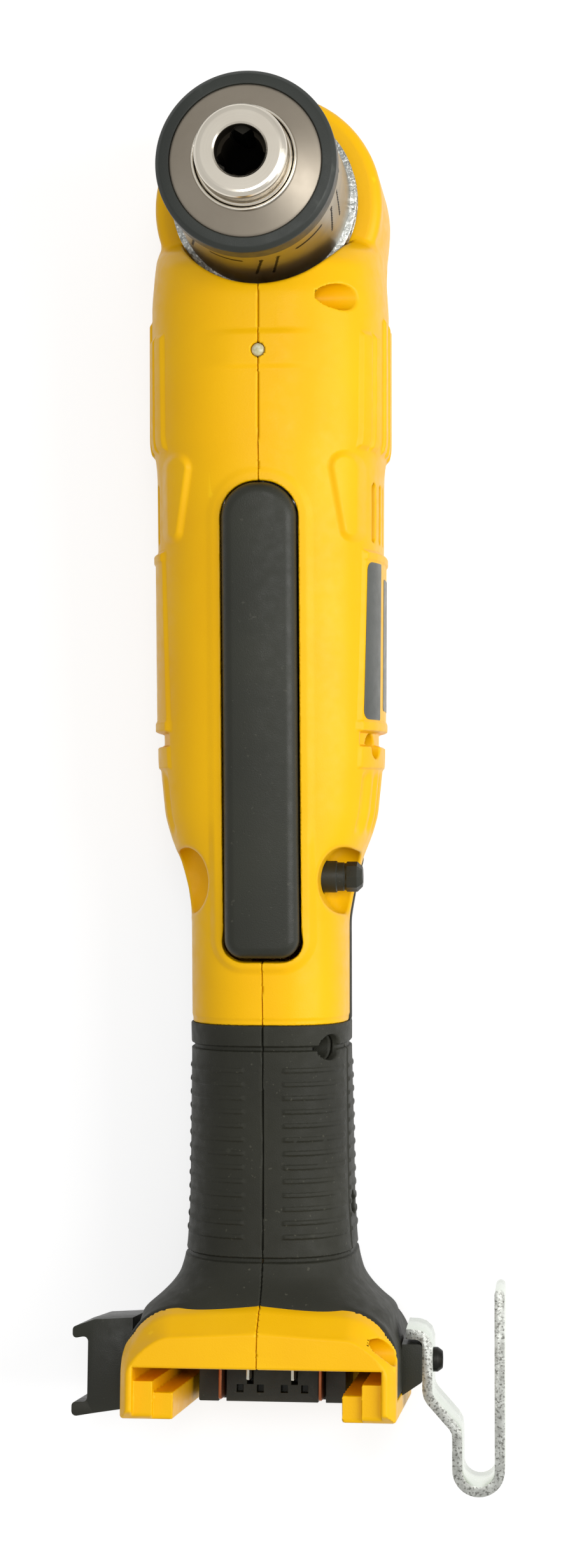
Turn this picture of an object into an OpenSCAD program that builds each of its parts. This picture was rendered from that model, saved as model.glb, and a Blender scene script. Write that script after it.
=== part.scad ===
// Cordless right angle drill, lying on its back with the chuck pointing up.
// The chuck axis is +Z, the head points to +Y and the battery foot to -Y.

/* [Housing] */
// Radius of the rounded head, seen along the chuck axis
head_r = 30; // [29.5:0.25:32]
// Height of the head's front face
head_h = 45; // [44.5:0.25:46]
// Width of the barrel round the gears
barrel_w = 61.8; // [61:0.2:66]
// Height of the barrel's front above the rest plane
barrel_front = 68; // [67:0.5:71]
// Height of the back of the body above the rest plane
body_back = 1; // [0.5:0.25:1.25]
// Width of the body beside the motor
panel_w = 59.4; // [57:0.2:61]
// Width of the neck between the body and the grip
neck_w = 41.4; // [40:0.2:44]
// Thickness of the moulded walls
wall = 3; // [2.5:0.1:3.2]
// Gap between the two shells
seam_gap = 0.1; // [0.06:0.02:0.3]
// Radius of the well that the chuck turns in
well_r = 24.5; // [24:0.1:25]

/* [Grip and foot] */
// Distance from the chuck axis to the start of the rubber grip
grip_start = 213; // [210:0.5:214]
// Thickness of the rubber grip
grip_t = 2.2; // [1.6:0.1:2.6]
// Number of ribs on each side of the grip
rib_count = 13; // [8:1:13]
// Distance from one grip rib to the next
rib_pitch = 3.55; // [3.2:0.05:3.7]
// Height of a grip rib above the rubber
rib_h = 0.5; // [0.3:0.05:0.8]
// Width of the battery foot
foot_w = 70; // [68:0.5:74]
// Depth of the battery foot along the chuck axis
foot_depth = 74; // [72:0.5:78]
// Distance from the chuck axis to the top of the foot
foot_top = 284; // [282:0.5:285]
// Distance from the chuck axis to the open end of the foot
foot_end = 312; // [310:0.5:316]
// Lean of the battery foot, in degrees
foot_tilt = 5.7; // [4:0.1:7]
// Width of the battery cavity
cavity_w = 58; // [56:0.5:60]
// Distance from the chuck axis to the roof of the battery cavity
cavity_top = 299; // [298.5:0.25:300]
// Clear width between the battery rails
rail_gap = 40; // [38:0.5:44]
// Gap between the cavity roof and the rails
rail_drop = 3.4; // [3:0.1:4]

/* [Chuck] */
// Height of the chuck's rear face
chuck_back = 48; // [47.8:0.1:49]
// Height of the chuck's front face
chuck_front = 107; // [105:0.5:110]
// Diameter of the bright nose
nose_d = 23; // [22.5:0.25:24]
// Diameter of the nose's mouth
mouth_d = 12.4; // [11:0.1:13]
// Diameter of the tool bore behind the mouth
bore_d = 10.4; // [10.2:0.1:10.6]
// Diameter of the chuck body inside the sleeve
core_d = 36.6; // [36.2:0.1:37]
// Diameter of the gripping sleeve
sleeve_d = 43; // [42.6:0.1:43.6]
// Diameter of the black front ring
ring_d = 44.8; // [44.2:0.1:46]
// Diameter of a jaw
jaw_d = 6; // [5.6:0.1:6.2]
// Angle between a jaw and the chuck axis
jaw_angle = 15; // [14:0.5:16]

/* [Drive] */
// Height of the motor and gear axis above the rest plane
axis_z = 32; // [31.5:0.25:32.5]
// Gap between the gearcase and the barrel's inner wall
case_gap = 2.9; // [2.6:0.1:3.3]
// Teeth on the bevel gear of the spindle
gear_teeth = 22; // [20:2:24]
// Teeth on the bevel pinion
pinion_teeth = 9; // [8:1:9]
// Size of the bevel teeth, as diameter for each tooth
bevel_module = 1.3333; // [1.25:0.01:1.36]
// Teeth on the sun gear
sun_teeth = 12; // [12:3:15]
// Teeth on each planet gear
planet_teeth = 15; // [12:3:15]
// Diameter of the spindle
spindle_d = 10; // [9:0.5:10]
// Diameter of the motor shaft
shaft_d = 5; // [4:0.5:5]
// Gap between the motor can and the inner wall beside it
can_gap = 3.7; // [3.3:0.1:4.4]
// Length of the motor can
can_len = 62; // [60:0.5:63]

/* [Controls] */
// Width of the paddle
paddle_w = 19.2; // [18:0.2:21]
// Length of the paddle
paddle_len = 121.5; // [118:0.5:122]
// Thickness of the paddle
paddle_t = 9; // [8:0.25:9.5]
// Height of the paddle above the housing
paddle_proud = 3; // [2.5:0.25:4]
// Gap round the paddle
paddle_gap = 1; // [0.8:0.1:1.4]
// Diameter of the paddle's hinge pin
paddle_pin_d = 4; // [3:0.25:4.5]
// Diameter of the direction button
button_d = 8.3; // [7.5:0.1:8.5]
// Distance from the chuck axis to the direction button
button_y = 176; // [175.5:0.25:176.5]
// Travel of the direction button from side to side
button_travel = 11.3; // [10:0.1:11.3]
// Radius of the scooped recess at each end of the button
scoop_r = 9.5; // [9:0.25:10]

/* [Hook and bit holder] */
// Thickness of the belt hook's strip
hook_t = 2.6; // [2.2:0.1:3]
// Width of the belt hook's strip
hook_w = 17; // [14:0.5:20]
// Gap between the hook's two legs
hook_gap = 8.4; // [7:0.2:10]
// Diameter of the hook's screw
hook_screw_d = 4; // [3:0.25:4.5]
// Length of the bit holder along the chuck axis
bit_holder_len = 28; // [24:1:34]

/* [Fits] */
// Gap between pieces that stand or move close together
clearance = 0.3; // [0.2:0.05:0.4]
// Radial running fit of a shaft in its bearing
run_fit = 0.05; // [0.02:0.01:0.08]
// Diameter of the housing screws
screw_d = 3.2; // [2.8:0.1:3.4]
// Diameter of the housing screws' heads
screw_head_d = 6; // [5.4:0.1:6.2]

/* [Hidden] */
$fn = 48;

// Points round each section of the housing
section_points = 24;
// Points round each section of the space inside
void_points = 16;
yellow = [0.98, 0.76, 0.03];
black = [0.16, 0.16, 0.14];
nickel = [0.78, 0.76, 0.72];
steel = [0.55, 0.55, 0.56];
dark_steel = [0.32, 0.32, 0.33];
zinc = [0.86, 0.88, 0.85];
copper = [0.72, 0.42, 0.26];

// Lean of the sections that run into the foot, the height where they keep their place along Y,
// and the back of the foot
lean = tan(foot_tilt);
lean_z = 42;
foot_rear = 0.8;

// Body sections: distance along Y, half width, back, front, squareness
body_sections = [
  [0, head_r - 0.4, body_back, head_h, 3.2],
  [-9, head_r - 0.1, body_back, head_h + 1, 3.2],
  [-13, head_r + 0.3, body_back, barrel_front - 8, 3],
  [-18, barrel_w / 2 - 0.6, body_back, barrel_front - 2, 2.9],
  [-26, barrel_w / 2, body_back, barrel_front, 2.8],
  [-63, barrel_w / 2, body_back, barrel_front, 2.7],
  [-67, barrel_w / 2 - 0.9, body_back + 0.5, barrel_front - 0.3, 2.65],
  [-71, panel_w / 2, body_back + 1, barrel_front - 0.6, 2.6],
  [-146, panel_w / 2 - 0.4, body_back + 3, barrel_front - 4.6, 2.6],
  [-160, panel_w / 2 - 1.8, body_back + 4.5, barrel_front - 5.6, 2.6],
  [-165, panel_w / 2 - 3.2, body_back + 5.5, barrel_front - 6, 2.6],
  [-171, panel_w / 2 - 5.6, body_back + 7.5, barrel_front - 6.4, 2.6],
  [-179, neck_w / 2 + 1.4, body_back + 9.4, barrel_front - 7, 2.6],
  [-187, neck_w / 2, body_back + 10, barrel_front - 7.6, 2.6],
  [-grip_start, neck_w / 2, body_back + 10, barrel_front - 9, 2.6]];

// Grip sections, in the same form, with the lean of those that run into the tilted foot
grip_sections = [
  [-grip_start, neck_w / 2 + 0.3, body_back + 9.6, barrel_front - 8.7, 2.6],
  [-grip_start - 9, neck_w / 2 + 0.2, body_back + 8.5, barrel_front - 9.2, 2.6],
  [-grip_start - 32, neck_w / 2 + 0.6, body_back + 6.5, barrel_front - 10, 2.6],
  [-foot_top + 22, neck_w / 2 + 0.9, body_back + 5.5, barrel_front - 9.6, 2.6],
  [-foot_top + 12, neck_w / 2 + 1.5, body_back + 5, barrel_front - 8.8, 2.6, 0.2 * lean],
  [-foot_top + 8, neck_w / 2 + 2.1, body_back + 4.6, barrel_front - 8, 2.7, 0.4 * lean],
  [-foot_top + 4, neck_w / 2 + 3.3, body_back + 4, barrel_front - 6.6, 2.8, 0.7 * lean],
  [-foot_top + 1, foot_w / 2 - 8.8, body_back + 3, foot_depth - 10.8, 3.1, 0.9 * lean],
  [-foot_top - 2, foot_w / 2 - 5.8, body_back + 1.8, foot_depth - 8.6, 3.6, lean],
  [-foot_top - 4.5, foot_w / 2 - 2.8, body_back + 0.8, foot_depth - 7, 4.2, lean],
  [-foot_top - 7.5, foot_w / 2 - 2, body_back + 0.6, foot_depth - 6.6, 4.4, lean]];

// Housing screws: distance along Y, height, seat of the head along X
screw_sites = [
  [-27.7, barrel_front - 6.5, 14],
  [-142, axis_z + 14, 22],
  [-142, axis_z - 18, 19],
  [-grip_start - 6.5, axis_z + 15.8, 11],
  [-foot_top + 22, axis_z + 4, 13],
  [-foot_top - 9.5, foot_depth - 7, 22]];

// Gearcase and motor can, inside the walls of the barrel and the panels
barrel_r = min(barrel_w / 2, axis_z - body_back, barrel_front - axis_z);
case_r = barrel_r - wall - case_gap;
can_r = min(barrel_r - 0.9, panel_w / 2) - wall - can_gap;

// Chain of the drive along Y
case_end = -46;
ring_len = 16;
plate_t = 3;
ring_end = case_end - ring_len;
can_front = ring_end - plate_t;
can_end = can_front - can_len;
cap_len = 10;
cap_end = can_end - cap_len;

// Bevel gears, whose cones meet where the axes cross
pinion_r = bevel_module * pinion_teeth / 2;
gear_r = bevel_module * gear_teeth / 2;
bevel_face = 0.3;

// Planetary gears, whose teeth grow with the gearcase
planet_module = 0.036 * case_r;
sun_r = planet_module * sun_teeth / 2;
planet_r = planet_module * planet_teeth / 2;
ring_teeth = sun_teeth + 2 * planet_teeth;
ring_r = planet_module * ring_teeth / 2;
planet_orbit = sun_r + planet_r;

// Paddle: its hinge, and the slope of the housing that it follows
hinge_y = -80;
hinge_z = barrel_front - 6;
paddle_top_y = -75;
paddle_slope = 3.3;

// Switch and direction button
plunger_y = -158;
plunger_r = 3.5;
switch_top = axis_z + 14;
button_z = axis_z + 12;
scoop_x = 23;
scoop_wall_x = scoop_x - scoop_r;

// Foot, hook and bit holder
foot_x = foot_w / 2;
hook_y = -foot_end + 9.5;
hook_z = 38;
boss_t = 5.2;
hook_plate_x = foot_x + boss_t;

// One section of a skin, moved outwards by t, as n points; a sixth value leans it back
function section_ring(s, t, n) = [for (i = [0 : n - 1])
  let (a = 360 * i / n, c = cos(a), d = sin(a),
    z = (s[2] + s[3]) / 2 + ((s[3] - s[2]) / 2 + t) * sign(d) * pow(abs(d), 2 / s[4]),
    back = len(s) > 5 ? s[5] * (lean_z - z) : 0)
  [(s[1] + t) * sign(c) * pow(abs(c), 2 / s[4]), s[0] - back, z]];

// Solid through a row of sections
module loft(sections, t, n = section_points) {
  rings = [for (s = sections) section_ring(s, t, n)];
  m = len(rings);
  sides = [for (j = [0 : m - 2], i = [0 : n - 1])
    let (a = j * n + i, b = j * n + (i + 1) % n) each [[a, a + n, b], [b, a + n, b + n]]];
  first = [for (i = [0 : n - 1]) i];
  last = [for (i = [n - 1 : -1 : 0]) (m - 1) * n + i];
  polyhedron([for (r = rings) each r], concat([first], sides, [last]));
}

// Box from one corner to the opposite one
module box(from, to) {
  translate(from) cube(to - from);
}

// Cylinder along X or Y between two places
module rod_x(r, x0, x1, y, z) {
  translate([x0, y, z]) rotate([0, 90, 0]) cylinder(r = r, h = x1 - x0);
}
module rod_y(r, y0, y1, z = axis_z) {
  translate([0, y0, z]) rotate([90, 0, 0]) cylinder(r = r, h = y0 - y1);
}
module tube_y(r, hole, y0, y1) {
  difference() {
    rod_y(r, y0, y1);
    rod_y(hole, y0 + 1, y1 - 1);
  }
}
module tube_z(r, hole, z0, z1) {
  translate([0, 0, z0]) difference() {
    cylinder(r = r, h = z1 - z0);
    translate([0, 0, -1]) cylinder(r = hole, h = z1 - z0 + 2);
  }
}

// Everything on one side of the seam, side being 1 or -1
module half(side) {
  reach = 400;
  intersection() {
    translate([side * (reach / 2 + seam_gap / 2), 0, 0]) cube([reach, 2 * reach, 2 * reach], center = true);
    children();
  }
}

// Housing: outer form
bumper_r = 19;
bumper_t = 2.4;
collar_r = 20;

module head_solid() {
  back_edge = 8;
  front_edge = 3;
  translate([0, 0.3, 0]) rotate_extrude($fn = 40) polygon(concat(
    [[0, body_back]],
    [for (a = [-90 : 22.5 : 0])
      [head_r - back_edge + back_edge * cos(a), body_back + back_edge + back_edge * sin(a)]],
    [for (a = [0 : 45 : 90])
      [head_r - front_edge + front_edge * cos(a), head_h - front_edge + front_edge * sin(a)]],
    [[0, head_h]]));
}

// One layer of the foot's arched outline with round shoulders, moved inwards and with its top lowered
module foot_layer(in, low, high, drop = 0) {
  shoulder = 9;
  crown = 4;
  shoulder_y = -foot_top - 1.6 - shoulder - drop;
  for (side = [-1, 1]) translate([side * (foot_x - shoulder), shoulder_y, low])
    cylinder(r = shoulder - in, h = high - low, $fn = 28);
  translate([0, -foot_top - crown - drop, low]) cylinder(r = crown - in, h = high - low, $fn = 28);
  box([-foot_x + in, -foot_end, low], [foot_x - in, -foot_end + 2, high]);
}

// The foot leans back, so that a pack slides on at an angle to the chuck
module foot_frame() {
  translate([0, -foot_top - 7, foot_depth]) rotate([-foot_tilt, 0, 0])
    translate([0, foot_top + 7, -foot_depth]) children();
}

// Battery foot with softened edges and a broad bevel over its front
module foot_solid() {
  soft = 1.2;
  bevel = 7;
  foot_frame() hull() {
    foot_layer(soft, foot_rear, foot_rear + soft);
    foot_layer(0, foot_rear + soft, foot_depth - bevel);
    foot_layer(0, foot_depth - bevel, foot_depth - 0.45 * bevel, 0.5 * bevel);
    foot_layer(soft, foot_depth - 0.45 * bevel, foot_depth, bevel);
  }
}

// Place on the foot's top and sides that the rubber wraps, behind a yellow front band
wrap_t = 1.6;
wrap_front = foot_depth - 9;
wrap_edge = 5;
module wrap_place() {
  foot_frame() box([-foot_w, -foot_end + wrap_edge, -foot_depth], [foot_w, 0, wrap_front]);
}
module foot_inside() {
  foot_frame() hull() foot_layer(wrap_t, -1, foot_depth + 1);
}
module foot_core() {
  difference() {
    foot_solid();
    difference() {
      wrap_place();
      foot_inside();
    }
  }
}

// Tongue of rubber up the back of the neck
tongue_t = 1.4;
tongue_z = axis_z + 4;
tongue_top = -168;
module tongue_place() {
  translate([-foot_w, 0, 0]) rotate([90, 0, 90]) linear_extrude(height = 2 * foot_w)
    polygon([[-grip_start - 1, -1], [-grip_start - 1, tongue_z], [tongue_top - 12, tongue_z],
      [tongue_top - 4, tongue_z - 7], [tongue_top, tongue_z - 20], [tongue_top, -1]]);
}

// Part of a raised skin, on both sides of the body
module side_pad(t, y0, y1, z0, z1) {
  intersection() {
    loft(body_sections, t);
    for (side = [-1, 1]) translate([side * 30, (y0 + y1) / 2, (z0 + z1) / 2])
      cube([40, y0 - y1, z1 - z0], center = true);
  }
}

// Frame of the paddle: origin at its hinge, sloping with the housing
module paddle_frame() {
  translate([0, hinge_y, hinge_z]) rotate([paddle_slope, 0, 0]) children();
}
paddle_top = paddle_proud + barrel_front - 0.8 - hinge_z;
paddle_head = paddle_top_y - hinge_y;
paddle_head_r = 9;
paddle_tail_r = 4.8;

// Outline of the paddle grown by g, between two heights of its own frame
module paddle_slot(g, z0, z1) {
  wide = paddle_w / 2 + g;
  hull() for (side = [-1, 1]) {
    translate([side * (wide - paddle_head_r - g), paddle_head - paddle_head_r, z0])
      cylinder(r = paddle_head_r + g, h = z1 - z0, $fn = 32);
    translate([side * (wide - paddle_tail_r - g), paddle_head - paddle_len + paddle_tail_r, z0])
      cylinder(r = paddle_tail_r + g, h = z1 - z0, $fn = 32);
  }
}

module housing_outer() {
  pad = 0.5;
  head_solid();
  loft(body_sections, 0);
  loft(neck_sections, -grip_t);
  foot_core();
  // Ribbed grip bands beside the gears
  for (z = [axis_z - 10, axis_z, axis_z + 10]) side_pad(pad, -30, -62.5, z - 3.6, z + 3.6);
  // Raised panels beside the motor, with a lip at each end
  side_pad(pad, -91, -134, axis_z - 19, axis_z + 19);
  for (y = [-90, -133]) side_pad(2 * pad, y, y - 1.6, axis_z - 20, axis_z + 20);
  // Light's band, and the rim round the paddle's tail
  intersection() {
    loft(body_sections, pad);
    box([-11, -46, axis_z], [11, -36.5, 2 * barrel_front]);
  }
  intersection() {
    loft(body_sections, 1.5 * pad);
    paddle_frame() paddle_slot(3.2, -20, 20);
    box([-foot_w, -grip_start, axis_z], [foot_w, -165, 2 * barrel_front]);
  }
  // Swellings over the gearbox screws
  for (side = [-1, 1]) hull() {
    translate([side * 22, -70.5, barrel_front - 10.4]) sphere(r = 4.6, $fn = 16);
    translate([side * 24.6, -85.5, barrel_front - 14.4]) sphere(r = 2.6, $fn = 12);
  }
}

// Sections of the tube that carries the grip, run into the neck by a lap
lap = 3;
neck_start = grip_sections[0];
neck_sections = concat([[neck_start[0] + lap, neck_start[1], neck_start[2], neck_start[3], neck_start[4]]],
  grip_sections);

// Sections of the neck, and the same carried on into the grip by a lap, for the tongue
nape_sections = [for (s = body_sections) if (s[0] < tongue_top + 9) s];
neck_end = body_sections[len(body_sections) - 1];
tongue_sections = concat(nape_sections,
  [[neck_end[0] - 1, neck_end[1], neck_end[2], neck_end[3], neck_end[4]]]);

module housing_void() {
  translate([0, 0, body_back + wall])
    cylinder(r = case_r + clearance, h = head_h - body_back - 2 * wall, $fn = 64);
  loft(body_sections, -wall, void_points);
  loft([for (s = neck_sections) if (s[0] > -foot_top + 3) s], -grip_t - wall, void_points);
}

// Walls and bosses inside the shells
module housing_ribs() {
  boss_r = screw_d / 2 + 2.2;
  translate([0, 0, head_h - wall]) cylinder(r = well_r + wall, h = barrel_front, $fn = 40);
  for (side = [-1, 1]) {
    translate([side * scoop_x, -button_y, button_z - button_d / 2 - 3 - wall])
      cylinder(r = scoop_r + wall, h = barrel_front, $fn = 24);
    // Bosses of the paddle's hinge pin
    hinge_x = side * (paddle_w / 2 + paddle_gap + 0.3 + 2);
    rod_x(paddle_pin_d / 2 + 2.2, hinge_x - 2, hinge_x + 2, hinge_y, hinge_z);
    translate([hinge_x, hinge_y, hinge_z + 3]) cube([4, 8.4, 6], center = true);
    // Cradle of the switch
    for (y = [plunger_y + 6, plunger_y - 6]) translate([side * (9 + clearance + 15), y, axis_z - 2])
      cube([30, 3, 16], center = true);
  }
  for (s = screw_sites) {
    rod_x(boss_r, -foot_w, s[2], s[0], s[1]);
    rod_x(screw_head_d / 2 + clearance + 1.6, s[2] - 2.5, foot_w, s[0], s[1]);
  }
}

module housing_cuts() {
  // Well of the chuck, collar hole and bumper seat
  translate([0, 0, head_h]) cylinder(r = well_r, h = 2 * barrel_front, $fn = 48);
  translate([0, 0, head_h - wall - 1]) cylinder(r = collar_r + clearance, h = wall + 2, $fn = 40);
  translate([0, 0, bumper_t + seam_gap - 10]) cylinder(r = bumper_r + seam_gap, h = 10, $fn = 64);
  // Paddle opening, hinge pin, light and direction button
  paddle_frame() paddle_slot(paddle_gap, paddle_top - paddle_t - 4, 30);
  rod_x(paddle_pin_d / 2 + seam_gap, -pin_reach - seam_gap, pin_reach + seam_gap, hinge_y, hinge_z);
  translate([0, led_y, axis_z + case_r]) cylinder(r = led_r + seam_gap, h = barrel_front);
  rod_x(button_d / 2 + clearance, -foot_w, foot_w, -button_y, button_z);
  for (side = [-1, 1]) {
    translate([side * scoop_x, -button_y, button_z - button_d / 2 - 2])
      cylinder(r = scoop_r, h = barrel_front, $fn = 32);
    // Cooling slots
    for (z = [axis_z - 14 : 7 : axis_z + 14]) hull() for (y = [-72.5, -85.5])
      rod_x(1.1, side * 30 - 10, side * 30 + 10, y, z, $fn = 8);
    // Flutes on the shoulder of the neck
    for (z = [axis_z - 12 : 6 : axis_z + 12]) hull() {
      translate([side * (panel_w / 2 + 0.9), -148, z]) sphere(r = 2, $fn = 6);
      translate([side * (panel_w / 2 - 1.2), -162, z]) sphere(r = 2, $fn = 6);
    }
  }
  // Slot round the sides behind the panels
  difference() {
    for (side = [-1, 1]) translate([side * 30, -137.8, axis_z]) cube([30, 3.6, 46], center = true);
    loft(body_sections, -1.4);
  }
  // Recess of the rubber on the back of the neck
  difference() {
    tongue_place();
    loft(nape_sections, -tongue_t);
    box([-foot_w, -foot_end, -1], [foot_w, -grip_start, foot_depth]);
  }
  screw_holes();
  battery_cavity();
  cross_screw_hole();
}

// Hole of the screws of the hook and the bit holder
module cross_screw_hole() {
  rod_x(hook_screw_d / 2 + seam_gap, -foot_w, foot_w, hook_y, hook_z);
}

// Recesses and holes of the housing screws, all driven from the right
module screw_holes() {
  for (s = screw_sites) {
    rod_x(screw_head_d / 2 + clearance, s[2], foot_w, s[0], s[1]);
    rod_x(screw_d / 2 + seam_gap, -7, s[2] + 1, s[0], s[1]);
  }
}

// Space for the battery pack: open to the front and below, with a stepped rail on each side
module battery_cavity() {
  step = 4.6;
  rail_top = -cavity_top - rail_drop;
  below = -foot_end - 1;
  foot_frame() difference() {
    box([-cavity_w / 2, below, cavity_back], [cavity_w / 2, -cavity_top, foot_depth + 2]);
    for (side = [0, 1]) mirror([side, 0, 0]) {
      box([rail_gap / 2 + step, below, 0], [cavity_w / 2, rail_top, foot_depth - 2]);
      box([rail_gap / 2, below, 0], [cavity_w / 2, rail_top - 0.6 * step, foot_depth - 2]);
    }
  }
  // Window for the terminals
  box([-tower_w / 2 - seam_gap, tower_low, tower_z0 - seam_gap],
    [tower_w / 2 + seam_gap, -foot_top + 10, tower_z1 + seam_gap]);
}

module housing_shell() {
  $fn = 12;
  difference() {
    union() {
      difference() {
        housing_outer();
        housing_void();
      }
      intersection() {
        housing_outer();
        housing_ribs();
      }
    }
    housing_cuts();
  }
}

module housing_left() { color(yellow) half(-1) housing_shell(); }
module housing_right() { color(yellow) half(1) housing_shell(); }

// Rubber grip, with its ribs and the flare over the foot
module grip_shell() {
  $fn = 12;
  groove = 0.8;
  rib_start = -grip_start - 12.5;
  difference() {
    union() {
      difference() {
        union() {
          loft(grip_sections, 0);
          intersection() {
            loft(grip_sections, rib_h);
            for (i = [0 : rib_count - 1], side = [-1, 1])
              translate([side * 16, rib_start - i * rib_pitch, axis_z + 26]) cube([22, 1.2, 60], center = true);
          }
        }
        foot_core();
      }
      // Wrap over the foot, and tongue up the neck
      difference() {
        intersection() {
          foot_solid();
          wrap_place();
        }
        foot_inside();
      }
      intersection() {
        loft(tongue_sections, 0);
        tongue_place();
      }
    }
    loft(neck_sections, seam_gap - grip_t);
    loft(nape_sections, -tongue_t);
    // Grooves round both ends of the ribbed field
    difference() {
      for (y = [-grip_start - 7, -foot_top + 10]) translate([0, y, axis_z])
        cube([2 * foot_w, 1.2, 2 * foot_depth], center = true);
      loft(grip_sections, -groove);
    }
    screw_holes();
    cross_screw_hole();
  }
}
module grip_left() { color(black) half(-1) grip_shell(); }
module grip_right() { color(black) half(1) grip_shell(); }

// Rest pad on the back of the head
module head_bumper() {
  soft = 0.8;
  color(black) rotate_extrude()
    polygon([[0, 0], [bumper_r - soft, 0], [bumper_r, soft], [bumper_r, bumper_t], [0, bumper_t]]);
}

// Outline of a toothed wheel, with one tooth centred on +X.
// Each tooth's half width is a share of the pitch at its root and tip.
function wheel_points(teeth, root_r, tip_r, root_share, tip_share) = [
  for (k = [0 : teeth - 1],
       p = [[root_r, -root_share], [tip_r, -tip_share], [tip_r, tip_share], [root_r, root_share]])
  let (a = (k + p[1]) * 360 / teeth) [p[0] * cos(a), p[0] * sin(a)]];
root_share = 0.29;
tip_share = 0.1;

module wheel(teeth, pitch_r, addendum, dedendum) {
  polygon(wheel_points(teeth, pitch_r - dedendum, pitch_r + addendum, root_share, tip_share));
}

// Puts a shape drawn in XY on the drive axis, at a place along Y, rising towards -Y
module on_drive(y) {
  translate([0, y, axis_z]) rotate([90, 0, 0]) children();
}

// Gearcase: angle head round the spindle, and the drum that carries the ring gear
case_floor = body_back + wall + clearance;
case_top = head_h - wall - clearance;
drum_y = -well_r - wall - 1;
gear_room_r = gear_r + 3.5;
bearing_z = axis_z + pinion_r + 2.3;
nose_top = chuck_back - 0.6;
front_bearing_r = 11;
front_bearing_h = 6;
rear_bearing_r = 9;
rear_bearing_h = 6;
pinion_bearing_r = 9;
pinion_bearing_y = drum_y - 1.5;
pinion_bearing_len = 7;
tail_r = spindle_d / 2 - 1;

module gearcase() {
  color(steel) difference() {
    union() {
      translate([0, 0, case_floor]) cylinder(r = case_r, h = case_top - case_floor);
      translate([0, 0, case_top - 1]) cylinder(r = collar_r, h = nose_top - case_top + 1);
      box([-20, drum_y - 2, case_floor + 6.5], [20, -10, case_top]);
      rod_y(case_r, drum_y, case_end);
    }
    // Room of the bevel gears
    translate([0, 0, case_floor + rear_bearing_h + 0.5])
      cylinder(r = gear_room_r, h = bearing_z - case_floor - rear_bearing_h - 1);
    rod_y(pinion_r + 2.4, 0, pinion_bearing_y + 1);
    // Seats of the bearings
    translate([0, 0, bearing_z - 1]) cylinder(r = front_bearing_r + run_fit, h = front_bearing_h + 1);
    translate([0, 0, bearing_z]) cylinder(r = spindle_d / 2 + 2, h = 30);
    translate([0, 0, case_floor + 0.5]) cylinder(r = rear_bearing_r + run_fit, h = rear_bearing_h + 1);
    rod_y(pinion_bearing_r + run_fit, pinion_bearing_y + 1, pinion_bearing_y - pinion_bearing_len);
    rod_y(spindle_d / 2 + 1, 0, case_end);
    // Room of the planet carrier
    rod_y(carrier_r + 1.5, carrier_y + 0.8, case_end - 1);
  }
}
module front_bearing() {
  color(steel) tube_z(front_bearing_r, spindle_d / 2 + run_fit, bearing_z, bearing_z + front_bearing_h);
}
module rear_bearing() {
  low = case_floor + 0.5;
  color(steel) tube_z(rear_bearing_r, tail_r + run_fit, low, low + rear_bearing_h);
}
module pinion_bearing() {
  color(steel) tube_y(pinion_bearing_r, spindle_d / 2 + run_fit, pinion_bearing_y,
    pinion_bearing_y - pinion_bearing_len);
}

// Spindle and its bevel gear
spindle_tail = case_floor + 0.8;
spindle_top = chuck_back + 10;
gear_back = axis_z - pinion_r;
gear_hub = 6;
pinion_addendum = 0.65;
gear_addendum = 0.5;

module spindle() {
  color(steel) difference() {
    union() {
      translate([0, 0, spindle_tail]) cylinder(r = tail_r, h = rear_bearing_h);
      translate([0, 0, spindle_tail + rear_bearing_h])
        cylinder(d = spindle_d, h = spindle_top - spindle_tail - rear_bearing_h);
    }
    translate([0, 0, spindle_top - 8]) cylinder(r = chuck_screw_r + run_fit, h = 9);
  }
}
// Bevel wheel, narrowing towards the point where the two axes cross
module bevel_wheel(teeth, pitch_r, addendum, dedendum, height) {
  root_r = pitch_r - dedendum;
  cylinder(r1 = root_r, r2 = root_r * (1 - bevel_face), h = height);
  outline = wheel_points(teeth, root_r - 0.4, pitch_r + addendum, root_share, tip_share);
  for (k = [0 : teeth - 1]) linear_extrude(height = height, scale = 1 - bevel_face)
    polygon([for (i = [0 : 3]) outline[4 * k + i]]);
}
module bevel_gear() {
  dedendum = 2.3;
  color(dark_steel) difference() {
    union() {
      translate([0, 0, gear_back - gear_hub]) cylinder(r = gear_r - dedendum, h = gear_hub);
      // A space, not a tooth, faces the pinion
      translate([0, 0, gear_back]) rotate([0, 0, -90 + 180 / gear_teeth])
        bevel_wheel(gear_teeth, gear_r, gear_addendum, dedendum, pinion_r * bevel_face);
    }
    translate([0, 0, gear_back - gear_hub - 1]) cylinder(r = spindle_d / 2 + run_fit / 2, h = 30);
  }
}

// Chuck: body with nose, bore and three slanting jaw ways
nose_r = nose_d / 2;
core_r = core_d / 2;
core_top = chuck_front - 19;
screw_seat = chuck_back + 14;
screw_pocket = 3;
bore_floor = screw_seat + screw_pocket;
chuck_screw_head_r = 4.4;
mouth_depth = 5;
jaw_r = jaw_d / 2;
jaw_axis_r = 2.6;
jaw_len = 27;
jaw_set_back = 7.2;
chuck_screw_r = 2.5;
collar_h = 5;
face_r = core_r + clearance + 0.2;
ring_h = 8;
ring_top = chuck_front - 11;
ring_back = ring_top - ring_h;

// Places a shape drawn along -Z on the axis of jaw k, from the nose's front face
module jaw_way(k) {
  rotate([0, 0, 90 + 120 * k]) translate([jaw_axis_r, 0, chuck_front]) rotate([0, -jaw_angle, 0])
    children();
}

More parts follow.
